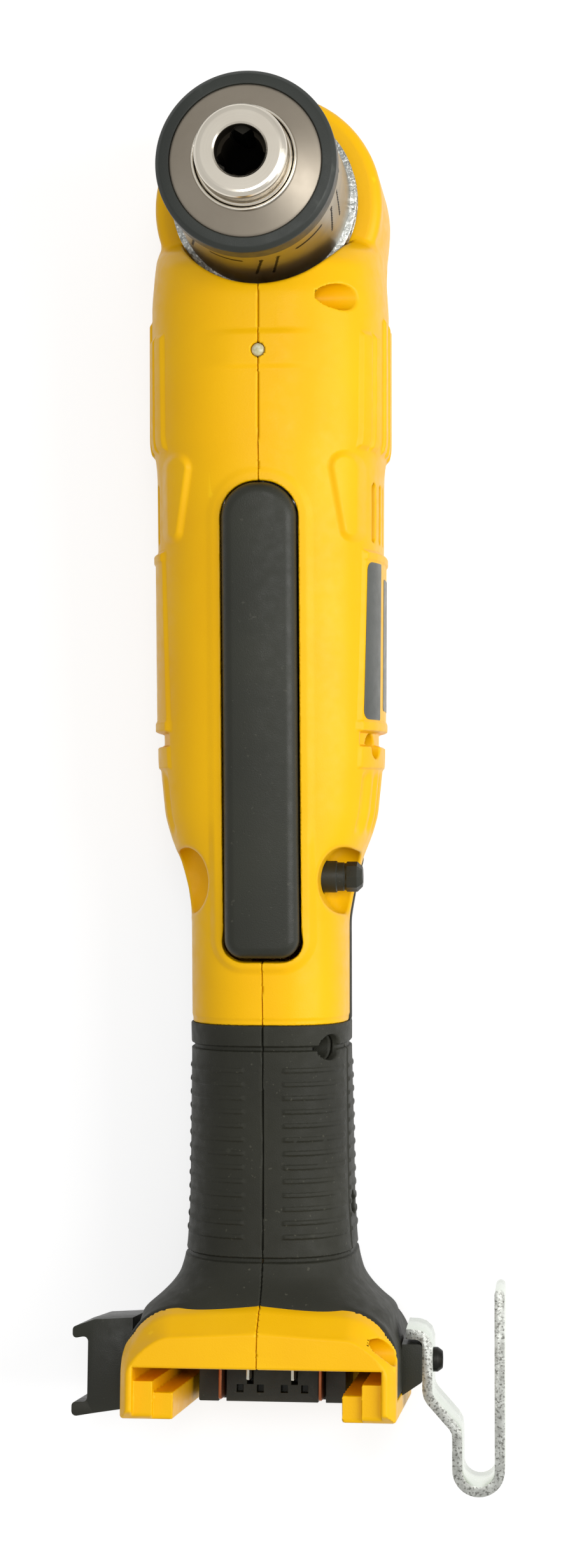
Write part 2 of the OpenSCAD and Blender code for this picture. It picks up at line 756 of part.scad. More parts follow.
module chuck_nose() {
  edge = 1.8;
  lead_in = 0.6;
  color(nickel) difference() {
    rotate_extrude() polygon(concat(
      [[0, chuck_back], [core_r, chuck_back], [core_r, core_top], [nose_r + 0.5, core_top],
       [nose_r + 0.5, ring_top + 3.2], [nose_r, ring_top + 3.8]],
      [for (a = [0 : 18 : 90]) [nose_r - edge + edge * cos(a), chuck_front - edge + edge * sin(a)]],
      [[0, chuck_front]]));
    translate([0, 0, chuck_front - lead_in])
      cylinder(r1 = mouth_d / 2, r2 = mouth_d / 2 + 2 * lead_in, h = 2 * lead_in);
    translate([0, 0, bore_floor]) cylinder(d = bore_d, h = chuck_front);
    translate([0, 0, chuck_front - mouth_depth]) cylinder(d = mouth_d, h = mouth_depth + 1);
    translate([0, 0, chuck_back - 1])
      cylinder(r = spindle_d / 2 + run_fit / 2, h = spindle_top - chuck_back + 1.1);
    cylinder(r = chuck_screw_r + run_fit, h = chuck_front);
    translate([0, 0, screw_seat]) cylinder(r = chuck_screw_head_r + clearance, h = screw_pocket + 1);
    for (k = [0 : 2]) jaw_way(k) translate([0, 0, -38]) cylinder(r = jaw_r + run_fit, h = 40);
  }
}
module chuck_screw() {
  color(dark_steel) union() {
    translate([0, 0, spindle_top - 7]) cylinder(r = chuck_screw_r, h = screw_seat - spindle_top + 7);
    translate([0, 0, screw_seat]) cylinder(r = chuck_screw_head_r, h = screw_pocket - 0.4);
  }
}
// Knurled rear ring, turned by hand against the sleeve
module chuck_collar() {
  notches = 36;
  collar_ring_r = sleeve_d / 2 + 0.4;
  color(steel) difference() {
    tube_z(collar_ring_r, core_r + run_fit / 2, chuck_back, chuck_back + collar_h);
    for (a = [0 : 360 / notches : 359]) rotate([0, 0, a])
      translate([collar_ring_r + 0.5, 0, chuck_back - 1]) cylinder(r = 0.9, h = collar_h + 2, $fn = 4);
  }
}
// Sleeve, engraved with short dashes and pairs of thin lines that end in dots
module chuck_sleeve() {
  groups = 6;
  deep = 0.35;
  sleeve_r = sleeve_d / 2;
  line_len = 11;
  line_z = ring_back - 5.5 - line_len / 2;
  color(dark_steel) difference() {
    tube_z(sleeve_r, core_r + clearance, chuck_back + collar_h + clearance, ring_back);
    for (k = [0 : groups - 1]) rotate([0, 0, 360 / groups * k + 12]) {
      difference() {
        translate([sleeve_r, 0, ring_back - 2.7]) cube([6, 8.6, 0.9], center = true);
        cylinder(r = sleeve_r - deep, h = chuck_front);
      }
      for (a = [24, 36]) rotate([0, 0, a]) {
        translate([sleeve_r, 0, line_z]) cube([2 * deep, 0.5, line_len], center = true);
        translate([sleeve_r - deep, 0, line_z + line_len / 2]) rotate([0, 90, 0])
          cylinder(d = 1.1, h = 2, $fn = 12);
      }
    }
  }
}
module chuck_ring() {
  soft = 1.6;
  inner = face_r + run_fit;
  outer = ring_d / 2;
  color(black) rotate_extrude() polygon([[inner, ring_back], [outer - soft, ring_back],
    [outer, ring_back + soft], [outer, ring_top - soft], [outer - soft, ring_top], [inner, ring_top]]);
}
module chuck_face() {
  inner = nose_r + 0.5 + clearance;
  lip = 0.9;
  color(nickel) rotate_extrude() polygon([[inner, core_top + clearance], [face_r, core_top + clearance],
    [face_r, ring_top - 0.4], [face_r - 0.6, ring_top], [inner + lip, ring_top + 2.6],
    [inner + lip - 0.3, ring_top + 3.4], [inner, ring_top + 3.4]]);
}
module jaw(k) {
  land = bore_d / 2 + run_fit;
  color(steel) intersection() {
    jaw_way(k) translate([0, 0, -jaw_set_back - jaw_len]) cylinder(r = jaw_r, h = jaw_len);
    rotate([0, 0, 90 + 120 * k]) linear_extrude(height = 2 * chuck_front)
      polygon([[land, 0], [land + 20, 20 * tan(60)], [land + 20, -20 * tan(60)]]);
  }
}
module jaw_1() { jaw(0); }
module jaw_2() { jaw(1); }
module jaw_3() { jaw(2); }

// Pinion shaft, carrier and planetary stage
carrier_r = planet_orbit + 3.85;
carrier_t = 4.5;
carrier_y = case_end + 5.2;
planet_y = carrier_y - carrier_t - 1.2;
planet_h = 9;
planet_pin_r = 2;
shaft_end_r = 4;
tooth_add = 0.75 * planet_module;
tooth_ded = 1.15 * planet_module;

module bevel_pinion() {
  dedendum = 0.9;
  color(dark_steel) union() {
    on_drive(-gear_r) rotate([180, 0, 0]) rotate([0, 0, 90])
      bevel_wheel(pinion_teeth, pinion_r, pinion_addendum, dedendum, gear_r * bevel_face);
    rod_y(spindle_d / 2, -gear_r, carrier_y);
    rod_y(shaft_end_r, carrier_y + 1, carrier_y - carrier_t);
  }
}
module planet_carrier() {
  color(steel) union() {
    tube_y(carrier_r, shaft_end_r + run_fit / 2, carrier_y, carrier_y - carrier_t);
    for (k = [0 : 2]) on_drive(carrier_y - carrier_t + 0.5) rotate([0, 0, 120 * k])
      translate([planet_orbit, 0, 0]) cylinder(r = planet_pin_r, h = planet_h + 2.4);
  }
}
// Turn of planet k that puts a space against the sun's tooth
function planet_phase(k) = 120 * k + 180 - (0.5 - 120 * k * sun_teeth / 360) * 360 / planet_teeth;
function ring_phase() = (0.5 + planet_phase(0) * planet_teeth / 360) * 360 / ring_teeth;

module planet(k) {
  color(steel) on_drive(planet_y) rotate([0, 0, 120 * k]) translate([planet_orbit, 0, 0])
    rotate([0, 0, planet_phase(k) - 120 * k]) difference() {
      linear_extrude(height = planet_h) wheel(planet_teeth, planet_r, tooth_add, tooth_ded);
      translate([0, 0, -1]) cylinder(r = planet_pin_r + run_fit, h = planet_h + 2);
    }
}
module planet_1() { planet(0); }
module planet_2() { planet(1); }
module planet_3() { planet(2); }
module ring_gear() {
  color(dark_steel) on_drive(case_end) difference() {
    cylinder(r = case_r, h = ring_len);
    translate([0, 0, -1]) rotate([0, 0, ring_phase()]) linear_extrude(height = ring_len + 2)
      polygon(wheel_points(ring_teeth, ring_r + tooth_ded, ring_r - tooth_add, root_share, tip_share));
  }
}
module sun_gear() {
  color(dark_steel) on_drive(planet_y) difference() {
    linear_extrude(height = planet_h) wheel(sun_teeth, sun_r, tooth_add, tooth_ded);
    translate([0, 0, -1]) cylinder(r = shaft_d / 2 + run_fit / 2, h = planet_h + 2);
  }
}
module gear_plate() {
  color(steel) tube_y(case_r, motor_bearing_r + 0.6, ring_end, can_front);
}

// Motor
motor_bearing_r = 6.5;
motor_bearing_len = 4;
can_wall = 1.8;
core_len = 34;
core_y = can_front - 12;
rotor_r = can_r - 8.5;
magnet_t = 4.4;
cap_r = can_r - 2;
front_bearing_y = can_front - can_wall;
rear_bearing_y = cap_end + motor_bearing_len + 2;

module motor_can() {
  color(dark_steel) difference() {
    rod_y(can_r, can_front, can_end);
    rod_y(can_r - can_wall, can_front - can_wall - motor_bearing_len - 1, can_end - 1);
    rod_y(motor_bearing_r + run_fit, front_bearing_y, can_end);
    rod_y(motor_bearing_r - 1, can_front + 1, can_end);
  }
}
module motor_magnets() {
  outer = can_r - can_wall - run_fit;
  color(black) difference() {
    tube_y(outer, outer - magnet_t, core_y + 1, core_y - core_len - 1);
    for (side = [-1, 1]) translate([0, core_y - core_len / 2, axis_z + side * can_r])
      cube([14, 2 * core_len, 2 * can_r - 2], center = true);
  }
}
module motor_bearings() {
  color(steel) union() {
    tube_y(motor_bearing_r, shaft_d / 2 + run_fit, front_bearing_y, front_bearing_y - motor_bearing_len);
    tube_y(motor_bearing_r, shaft_d / 2 + run_fit, rear_bearing_y, rear_bearing_y - motor_bearing_len);
  }
}
module rotor() {
  slots = 12;
  color(copper) union() {
    rod_y(shaft_d / 2, planet_y - 0.6, cap_end + 1.2);
    difference() {
      rod_y(rotor_r, core_y, core_y - core_len);
      on_drive(core_y + 1) for (a = [0 : 360 / slots : 359]) rotate([0, 0, a])
        translate([rotor_r, 0, core_len / 2 + 1]) cube([3, 1.6, core_len + 4], center = true);
    }
    for (y = [core_y + 3.5, core_y - core_len]) rod_y(rotor_r - 2.6, y, y - 3.5);
  }
}
module commutator() {
  color(copper) tube_y(8, shaft_d / 2 + run_fit / 2, can_end + 8, can_end - 1);
}
module motor_fan() {
  blades = 9;
  fan_y = front_bearing_y - motor_bearing_len - 0.8;
  fan_t = core_y + 3.5 - fan_y;
  color(black) on_drive(fan_y) difference() {
    union() {
      cylinder(r = 6, h = -fan_t - 0.4);
      translate([0, 0, -fan_t - 1.4]) cylinder(r = can_r - can_wall - 2, h = 1);
      for (a = [0 : 360 / blades : 359]) rotate([0, 0, a]) translate([5, -0.6, 0.4])
        cube([can_r - can_wall - 8, 1.2, -fan_t - 1]);
    }
    translate([0, 0, -1]) cylinder(r = shaft_d / 2 + run_fit / 2, h = 20);
  }
}
module motor_end_cap() {
  color(black) difference() {
    rod_y(cap_r, can_end, cap_end);
    rod_y(10, can_end + 1, can_end - 2);
    rod_y(motor_bearing_r + run_fit, can_end + 1, rear_bearing_y - motor_bearing_len);
    rod_y(motor_bearing_r - 1, can_end, cap_end + 0.9);
  }
}

// Switch, plunger and paddle
plunger_top = hinge_z + (plunger_y - hinge_y) * tan(paddle_slope) + paddle_top - paddle_t - 0.8;
plunger_bottom = switch_top - 5;
pin_reach = 13;
lug_r = paddle_pin_d / 2 + 2;
lug_x = 5;

module switch_module() {
  color(black) difference() {
    union() {
      box([-9, plunger_y - 10, axis_z - 16], [9, plunger_y + 10, switch_top]);
      box([-9, plunger_y - 32, axis_z - 16], [9, plunger_y - 9, axis_z + 4]);
    }
    translate([0, plunger_y, plunger_bottom - 6]) cylinder(r = plunger_r + run_fit, h = 40);
  }
}
module switch_plunger() {
  color(steel) union() {
    translate([0, plunger_y, plunger_bottom]) cylinder(r = plunger_r, h = plunger_top - plunger_bottom - 1);
    translate([0, plunger_y, plunger_top - 1]) cylinder(r1 = plunger_r, r2 = plunger_r - 1, h = 1);
  }
}
module paddle() {
  edge = 2.4;
  color(black) paddle_frame() difference() {
    union() {
      hull() for (a = [0 : 30 : 90]) {
        shrink = edge * (1 - cos(a));
        paddle_slot(-shrink, paddle_top - paddle_t, paddle_top - edge + edge * sin(a));
      }
      rod_x(lug_r, -lug_x, lug_x, 0, 0);
    }
    rod_x(paddle_pin_d / 2 + run_fit, -paddle_w, paddle_w, 0, 0);
  }
}
module paddle_pin() {
  color(steel) rod_x(paddle_pin_d / 2, -pin_reach, pin_reach, hinge_y, hinge_z);
}

// Direction button: a bolt across the body, pushed fully to the right
module direction_button() {
  left_x = -scoop_wall_x - 0.4;
  right_x = scoop_wall_x + button_travel;
  facet = 1.4;
  color(black) union() {
    rod_x(button_d / 2, left_x, right_x - facet - 3, -button_y, button_z);
    translate([right_x - facet - 3, -button_y, button_z]) rotate([0, 90, 0])
      cylinder(d = button_d, h = 3, $fn = 8);
    translate([right_x - facet, -button_y, button_z]) rotate([0, 90, 0])
      cylinder(d1 = button_d, d2 = button_d - 2 * facet, h = facet, $fn = 8);
  }
}

// Work light
led_y = -41.6;
led_r = 1.75;
board_z = axis_z + case_r + clearance;
module led_board() {
  color([0.1, 0.35, 0.2]) box([-4, led_y - 4, board_z], [4, led_y + 4, board_z + 1.6]);
}
module led_lens() {
  low = board_z + 1.6;
  dome = 0.8;
  color([0.9, 0.9, 0.8]) translate([0, led_y, 0]) rotate_extrude() polygon([[0, low], [led_r, low],
    [led_r, barrel_front - 0.2], [led_r - dome, barrel_front - 0.2 + dome], [0, barrel_front - 0.2 + dome]]);
}

// Terminals and leads
tower_w = 24;
tower_z0 = 12;
tower_z1 = 30;
block_top = 34;
tower_top = -foot_top - 4;
tower_low = -cavity_top - 7.5;
cavity_back = 8;
module terminal_block() {
  color(black) union() {
    foot_frame() box([-rail_gap / 2 + 0.5, -foot_end + 1, cavity_back],
      [rail_gap / 2 - 0.5, -cavity_top, block_top]);
    box([-tower_w / 2, tower_low, tower_z0], [tower_w / 2, tower_top, tower_z1]);
  }
}
module contact_blades() {
  blade_len = 6;
  color(copper) foot_frame() for (b = [[-13.2, 11], [-5.9, 6], [5.9, 6], [13.2, 11]])
    box([b[0] - 0.4, -cavity_top - b[1], block_top], [b[0] + 0.4, -cavity_top - 0.2, block_top + blade_len]);
}
module power_leads() {
  color("firebrick") for (x = [-5, 5]) translate([x, 0, -6]) rod_y(1.1, plunger_y - 32, tower_top);
}

// Belt hook: a bent strip, drawn as its middle line with round bends
hook_leg_x = hook_plate_x + 9;
hook_bottom = hook_y - 33.8;
hook_tip = hook_y + 19.8;
hook_x = hook_plate_x + hook_t / 2;
bend_r = hook_gap / 2 + hook_t / 2;
hook_path = concat(
  [[foot_x + 1, hook_y + 8], [hook_x - 1.6, hook_y + 7.6], [hook_x, hook_y + 5.5], [hook_x, hook_y - 7],
   [hook_x + 1, hook_y - 9.3], [hook_leg_x - 0.8, hook_y - 16.1], [hook_leg_x, hook_y - 18.5]],
  [for (a = [180 : 15 : 360])
    [hook_leg_x + bend_r + bend_r * cos(a), hook_bottom + hook_t / 2 + bend_r + bend_r * sin(a)]],
  [[hook_leg_x + 2 * bend_r, hook_tip]]);

// Left and right edges of a strip along a path
function heading(p, i) = let (a = p[max(i - 1, 0)], b = p[min(i + 1, len(p) - 1)], d = b - a) d / norm(d);
function strip(p, t) = concat(
  [for (i = [0 : len(p) - 1]) let (h = heading(p, i)) p[i] + t / 2 * [-h[1], h[0]]],
  [for (i = [len(p) - 1 : -1 : 0]) let (h = heading(p, i)) p[i] - t / 2 * [-h[1], h[0]]]);

module belt_hook() {
  color(zinc) difference() {
    translate([0, 0, hook_z - hook_w / 2]) linear_extrude(height = hook_w)
      polygon(strip(hook_path, hook_t));
    rod_x(hook_screw_d / 2 + seam_gap, foot_x, hook_leg_x, hook_y, hook_z);
  }
}
module hook_boss() {
  color(black) difference() {
    translate([0, 0, hook_z - hook_w / 2]) linear_extrude(height = hook_w) polygon([[foot_x, hook_y + 5.3],
      [hook_plate_x, hook_y + 5.3], [hook_plate_x, hook_y - 4.4], [foot_x, hook_y - 8]]);
    rod_x(hook_screw_d / 2 + seam_gap, 0, foot_w, hook_y, hook_z);
  }
}
// Screw across the foot, from x0 to the seat of its head at x1
cross_head_r = hook_screw_d / 2 + 1.2;
cross_head_t = 2.4;
module cross_screw(x0, x1, side) {
  head = x1 + side * cross_head_t;
  rod_x(hook_screw_d / 2, min(x0, x1), max(x0, x1), hook_y, hook_z);
  rod_x(cross_head_r, min(x1, head), max(x1, head), hook_y, hook_z);
}
module hook_screw() { color(black) cross_screw(cavity_w / 2 + 0.5, hook_plate_x + hook_t, 1); }

// Bit holder: a channel with two lips, open to the side
holder_x = -foot_x - 11.6;
lip_x = holder_x - 3.5;
module bit_holder() {
  top = hook_y + 12;
  low = hook_y - 14;
  color(black) difference() {
    translate([0, 0, hook_z - bit_holder_len / 2]) linear_extrude(height = bit_holder_len)
      polygon([[-foot_x, top], [lip_x, top - 1], [lip_x - 0.6, top - 4], [holder_x, top - 3.4],
        [holder_x, low + 3.4], [lip_x - 0.6, low + 4], [lip_x, low + 1], [-foot_x, low + 4]]);
    rod_x(hook_screw_d / 2 + seam_gap, -foot_w, 0, hook_y, hook_z);
    rod_x(cross_head_r + clearance, -foot_w, holder_x + cross_head_t, hook_y, hook_z);
  }
}
module bit_holder_screw() { color(black) cross_screw(-cavity_w / 2 - 0.5, holder_x + cross_head_t, -1); }

// Screws that hold the shells together
module housing_screws() {
  head_t = 2.4;
  color(dark_steel) for (s = screw_sites) union() {
    rod_x(screw_d / 2, -6, s[2], s[0], s[1]);
    rod_x(screw_head_d / 2, s[2], s[2] + head_t, s[0], s[1]);
  }
}

housing_left();
housing_right();
grip_left();
grip_right();
head_bumper();
gearcase();
front_bearing();
rear_bearing();
pinion_bearing();
spindle();
bevel_gear();
chuck_nose();
chuck_collar();
chuck_screw();
chuck_sleeve();
chuck_ring();
chuck_face();
jaw_1();
jaw_2();
jaw_3();
bevel_pinion();
planet_carrier();
planet_1();
planet_2();
planet_3();
ring_gear();
sun_gear();
gear_plate();
motor_can();
motor_magnets();
motor_bearings();
rotor();
commutator();
motor_fan();
motor_end_cap();
switch_module();
switch_plunger();
paddle();
paddle_pin();
direction_button();
led_lens();
led_board();
power_leads();
terminal_block();
contact_blades();
belt_hook();
hook_boss();
hook_screw();
bit_holder();
bit_holder_screw();
housing_screws();
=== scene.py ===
import math

import bmesh
import bpy
import numpy as np
from mathutils import Matrix, Vector


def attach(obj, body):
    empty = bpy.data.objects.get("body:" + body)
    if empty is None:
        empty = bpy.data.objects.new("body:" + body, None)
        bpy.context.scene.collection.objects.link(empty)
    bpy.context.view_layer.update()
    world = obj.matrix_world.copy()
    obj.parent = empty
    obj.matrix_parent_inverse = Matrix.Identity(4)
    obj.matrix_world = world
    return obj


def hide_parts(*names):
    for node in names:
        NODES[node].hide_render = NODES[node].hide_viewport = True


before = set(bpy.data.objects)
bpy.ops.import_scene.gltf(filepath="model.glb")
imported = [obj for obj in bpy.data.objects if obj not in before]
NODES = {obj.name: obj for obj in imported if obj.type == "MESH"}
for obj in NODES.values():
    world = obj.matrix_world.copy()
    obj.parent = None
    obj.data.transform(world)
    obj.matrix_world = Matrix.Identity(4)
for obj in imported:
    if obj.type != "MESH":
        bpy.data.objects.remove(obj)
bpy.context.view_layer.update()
MM = 0.001

# Camera, set from the photograph: place in millimetres, turns in degrees, lens in millimetres
CAMERA_PLACE = (77.7, -161.5, 766.7)
CAMERA_TURN = (0.77, 5.73, -0.07)
CAMERA_LENS = 63.65

# The housing's sections, close to the CAD's: Y, half width, back, front, squareness
BODY = [
    (0, 29.6, 1, 45, 3.2), (-9, 29.9, 1, 46, 3.2), (-13, 30.3, 1, 60, 3), (-18, 30.3, 1, 66, 2.9),
    (-26, 30.9, 1, 68, 2.8), (-63, 30.9, 1, 68, 2.7), (-67, 30, 1.5, 67.7, 2.65), (-71, 29.7, 2, 67.4, 2.6),
    (-146, 29.3, 4, 63.4, 2.6), (-160, 27.9, 5.5, 62.4, 2.6), (-165, 26.5, 6.5, 62, 2.6),
    (-171, 24.1, 8.5, 61.6, 2.6), (-179, 22.1, 10.4, 61, 2.6), (-187, 20.7, 11, 60.4, 2.6),
    (-213, 20.7, 11, 59, 2.6)]
# The grip's sections, with the share of the foot's lean that each one takes
GRIP = [
    (-213, 21, 10.6, 59.3, 2.6, 0), (-222, 20.9, 9.5, 58.8, 2.6, 0), (-245, 21.3, 7.5, 58, 2.6, 0),
    (-262, 21.6, 6.5, 58.4, 2.6, 0), (-272, 22.2, 6, 59.2, 2.6, 0.2), (-276, 22.8, 5.6, 60, 2.7, 0.4),
    (-280, 24, 5, 61.4, 2.8, 0.7), (-283, 26.2, 4, 63.2, 3.1, 0.9), (-286, 29.2, 2.8, 65.4, 3.6, 1),
    (-288.5, 32.2, 1.8, 67, 4.2, 1), (-291.5, 33, 1.6, 67.4, 4.4, 1)]
# Screws of the right shell: Y, Z and the X of the head's seat; three are nearer the front than in the CAD
SCREWS = [
    (-27.7, 62.9, 10), (-142, 46, 22), (-142, 14, 19),
    (-219.9, 51.5, 10), (-262, 36, 13), (-295, 69.3, 20)]
GRIP_SCREWS = SCREWS[3:5]
POCKET_R = 3.3
# Head: its centre, radius, rim and back
HEAD_Y = 0.3
HEAD_R = 30
HEAD_TOP = 45
HEAD_BACK = 1
# Barrel's axis, the light above it, the end of the neck and the top of the rubber on the neck's back
AXIS_Z = 32.0
LIGHT_Y = -41.6
NECK_END = -214
TONGUE_TOP = -168
# The paddle's hinge in Y and Z, its slope, and the direction button in Y and Z
HINGE = (-80.0, 62.0)
SLOPE = math.radians(3.3)
BUTTON = (-176, 44)
# The foot: half width, lower edge, front, and the screws across it in Y and Z
FOOT_HALF = 35
FOOT_LOW = -312
FOOT_FRONT = 74
FOOT_SCREW = (-302.5, 38)
# The foot leans about a line across its front, and the grip about one in its middle
TILT = math.radians(5.7)
FOOT_TURN = (-291.0, 74.0)
LEAN_Z = 42.0
# Half of the gap on the seam, the seam's rounding, and the least radius in a turned profile
SHELL_GAP = 0.05
RUBBER_GAP = 0.06
SEAM_ROUND = 0.14
CORE = 0.01


# Distance fields, in millimetres, for moulded shapes with rounded edges
def rmax(a, b, r):
    """Both a and b, with the edge between them rounded to radius r."""
    return np.minimum(np.maximum(a, b), -r) + np.hypot(np.maximum(a + r, 0), np.maximum(b + r, 0))


def rmin(a, b, r):
    """Either a or b, with a fillet of radius r between them."""
    return -rmax(-a, -b, r)


def ramp(t, lo, hi):
    """A soft step from 0 at lo to 1 at hi."""
    s = np.clip((t - lo) / (hi - lo), 0, 1)
    return s * s * (3 - 2 * s)


def band(t, lo, hi, soft):
    """1 between lo and hi, with soft edges, and 0 outside."""
    return ramp(t, lo - soft, lo + soft) * (1 - ramp(t, hi - soft, hi + soft))


def skin_table(rows, soft):
    """The sections along Y, every quarter of a millimetre, blurred so that the form flows."""
    step, margin = 0.25, 12
    rows = np.array(rows, float)[::-1]
    ys = np.arange(rows[0, 0] - margin, rows[-1, 0] + margin, step)
    kernel = np.hanning(int(soft / step) | 1)
    kernel /= kernel.sum()
    half = len(kernel) // 2
    cols = [np.convolve(np.pad(np.interp(ys, rows[:, 0], rows[:, k]), half, "edge"), kernel, "valid")
            for k in range(1, rows.shape[1])]
    return ys, cols


BODY_TABLE = skin_table(BODY, 6)
GRIP_TABLE = skin_table(GRIP, 5)


def skin(table, x, y, z):
    """Signed distance to a skin of rounded oblong sections; the grip's sections lean with the foot."""
    tiny = 1e-4
    ys, cols = table
    if len(cols) > 4:
        across = math.tan(TILT) * (LEAN_Z - z)
        start = y
        for _ in range(2):
            start = y + across * np.interp(start, ys, cols[4])
        y = start
    a, back, front, n = (np.interp(y, ys, c).astype(np.float32) for c in cols[:4])
    b = (front - back) / 2
    u = np.abs(x) / a + tiny
    v = np.abs(z - (front + back) / 2) / b + tiny
    g = (u ** n + v ** n) ** (1 / n)
    slope = np.hypot((u / g) ** (n - 1) / a, (v / g) ** (n - 1) / b)
    return (g - 1) / slope


def paddle_outline(x, along):
    """Signed distance to the paddle's outline, in its own frame."""
    top, tail, wide = 5.0, -116.5, 9.6
    top_r, tail_r = 9.0, 4.8
    mid, half = (top + tail) / 2, (top - tail) / 2
    r = np.where(along > mid, top_r, tail_r)
    qx, qy = np.abs(x) - wide + r, np.abs(along - mid) - half + r
    return np.minimum(np.maximum(qx, qy), 0) + np.hypot(np.maximum(qx, 0), np.maximum(qy, 0)) - r


def paddle_frame(y, z):
    """Distance along the paddle from its hinge, and height above it."""
    c, s = math.cos(SLOPE), math.sin(SLOPE)
    return (y - HINGE[0]) * c + (z - HINGE[1]) * s, (z - HINGE[1]) * c - (y - HINGE[0]) * s


def foot_frame(y, z):
    """Height and depth in the foot's own leaning frame."""
    c, s = math.cos(TILT), math.sin(TILT)
    dy, dz = y - FOOT_TURN[0], z - FOOT_TURN[1]
    return FOOT_TURN[0] + dy * c - dz * s, FOOT_TURN[1] + dy * s + dz * c


def foot_outline(ax, y):
    """Signed distance to the foot's outline from the front, with its arched top."""
    arch = (y + 282.2 + 0.07 * ax) * 0.998
    return rmax(rmax(ax - FOOT_HALF, arch, 13), FOOT_LOW - y, 0.8)


def foot_forms(ax, y, z):
    """The yellow foot, and the rubber that wraps its top and sides behind the front band."""
    outline = foot_outline(ax, y)
    top = ramp(y, -301, -290)
    solid = rmax(rmax(outline, z - FOOT_FRONT, 1.2), 0.8 - z, 1.6)
    # A broad chamfer above the front face, narrow down the sides, and a steeper one behind it
    solid = rmax(solid, (outline + z - FOOT_FRONT + 2.2 + 5.7 * top) * 0.7071, 0.4)
    solid = rmax(solid, 0.9 * outline + 0.436 * (z - FOOT_FRONT + 10.5 - 6.5 * (1 - top)), 0.3)
    # The step for the rubber, and the rubber in it
    place = np.maximum(np.maximum(z - 65, -307 - y), -1.6 - outline)
    wrap = rmax(np.maximum(solid, place), np.maximum(z - 64.9, -306.9 - y), 0.8)
    return rmax(solid, -place, 0.35), wrap


def tongue_place(y, z):
    """Negative where the rubber runs up the back of the neck."""
    corner = np.maximum(0.6585 * (y + 180) + 0.7526 * (z - 36), 0.9558 * (y + 172) + 0.2941 * (z - 29))
    return rmax(np.maximum(z - 36, y - TONGUE_TOP), corner, 3)


def screw_pockets(x, y, z, r, back=0.0):
    """Signed distance to the pockets over the screws, from a plane behind each seat."""
    pockets = None
    for sy, sz, seat in SCREWS:
        d = np.maximum(np.hypot(y - sy, z - sz) - r, seat - back - x)
        pockets = d if pockets is None else np.minimum(pockets, d)
    return pockets


def tapered(a, b, p, q, rp, rq):
    """Signed distance to a flat pad with round ends of two sizes."""
    da, db = q[0] - p[0], q[1] - p[1]
    t = np.clip(((a - p[0]) * da + (b - p[1]) * db) / (da * da + db * db), 0, 1)
    return np.hypot(a - p[0] - t * da, b - p[1] - t * db) - (rp + t * (rq - rp))


def relief(ax, y, z, outline):
    """Height of the shallow forms on the body's skin."""
    side = ramp(ax, 18, 21)
    # Band round the light
    r = 0.45 * band(y, -45.8, -36.8, 0.9) * (1 - ramp(ax, 6, 16)) * ramp(z, 50, 55)
    # Ribs on the sides of the barrel
    for zc, top in ((56.9, -36), (51.6, -36), (43, -30.5), (34.5, -30.5), (26, -30.5), (17.5, -30.5)):
        r = r + 0.75 * band(z, zc - 2.0, zc + 2.0, 0.45) * band(y, -65.5, top, 0.8) * side
    # Pads over the gearbox screws
    pad = tapered(ax, y, (22.0, -71.2), (23.2, -86.8), 4.4, 3.0)
    r = r + 1.15 * ramp(-pad, -0.5, 2.0) * ramp(z, 44, 50)
    # Label panels with a lip at each end, a slot and a band below them
    r = r + 0.7 * band(y, -138.2, -91.8, 0.4) * band(z, AXIS_Z - 19, AXIS_Z + 22.6, 0.5) * side
    for low, high in ((-94.0, -91.4), (-138.2, -135.6)):
        r = r + 0.4 * band(y, low, high, 0.35) * band(z, AXIS_Z - 20, AXIS_Z + 23, 0.6) * side
    r = r - 1.2 * band(y, -141.9, -138.5, 0.3) * band(z, AXIS_Z - 20, AXIS_Z + 21.4, 0.5) * side
    r = r + 0.5 * band(y, -147.8, -142.1, 0.35) * band(z, AXIS_Z - 20, AXIS_Z + 22, 0.6) * side
    # Flutes
    for zc in (49.6, 43.4, 37.2, 31, 24.8, 18.6):
        r = r - 0.95 * band(z, zc - 1.5, zc + 1.5, 1.2) * band(y, -164, -149.2, 1.8) * side
    # Rim round the paddle, higher at its tail
    front = ramp(z, 44, 50)
    tail = 1 - ramp(y, -168, -158)
    r = r + (0.3 + 0.5 * tail) * (1 - ramp(outline, 2.2, 4.4)) * front
    # Groove at the end of the neck, and the bed of the rubber on its back
    r = r - 0.25 * band(y, -214.5, -212.4, 0.5)
    return r - 1.4 * ramp(-tongue_place(y, z), -0.1, 0.3)


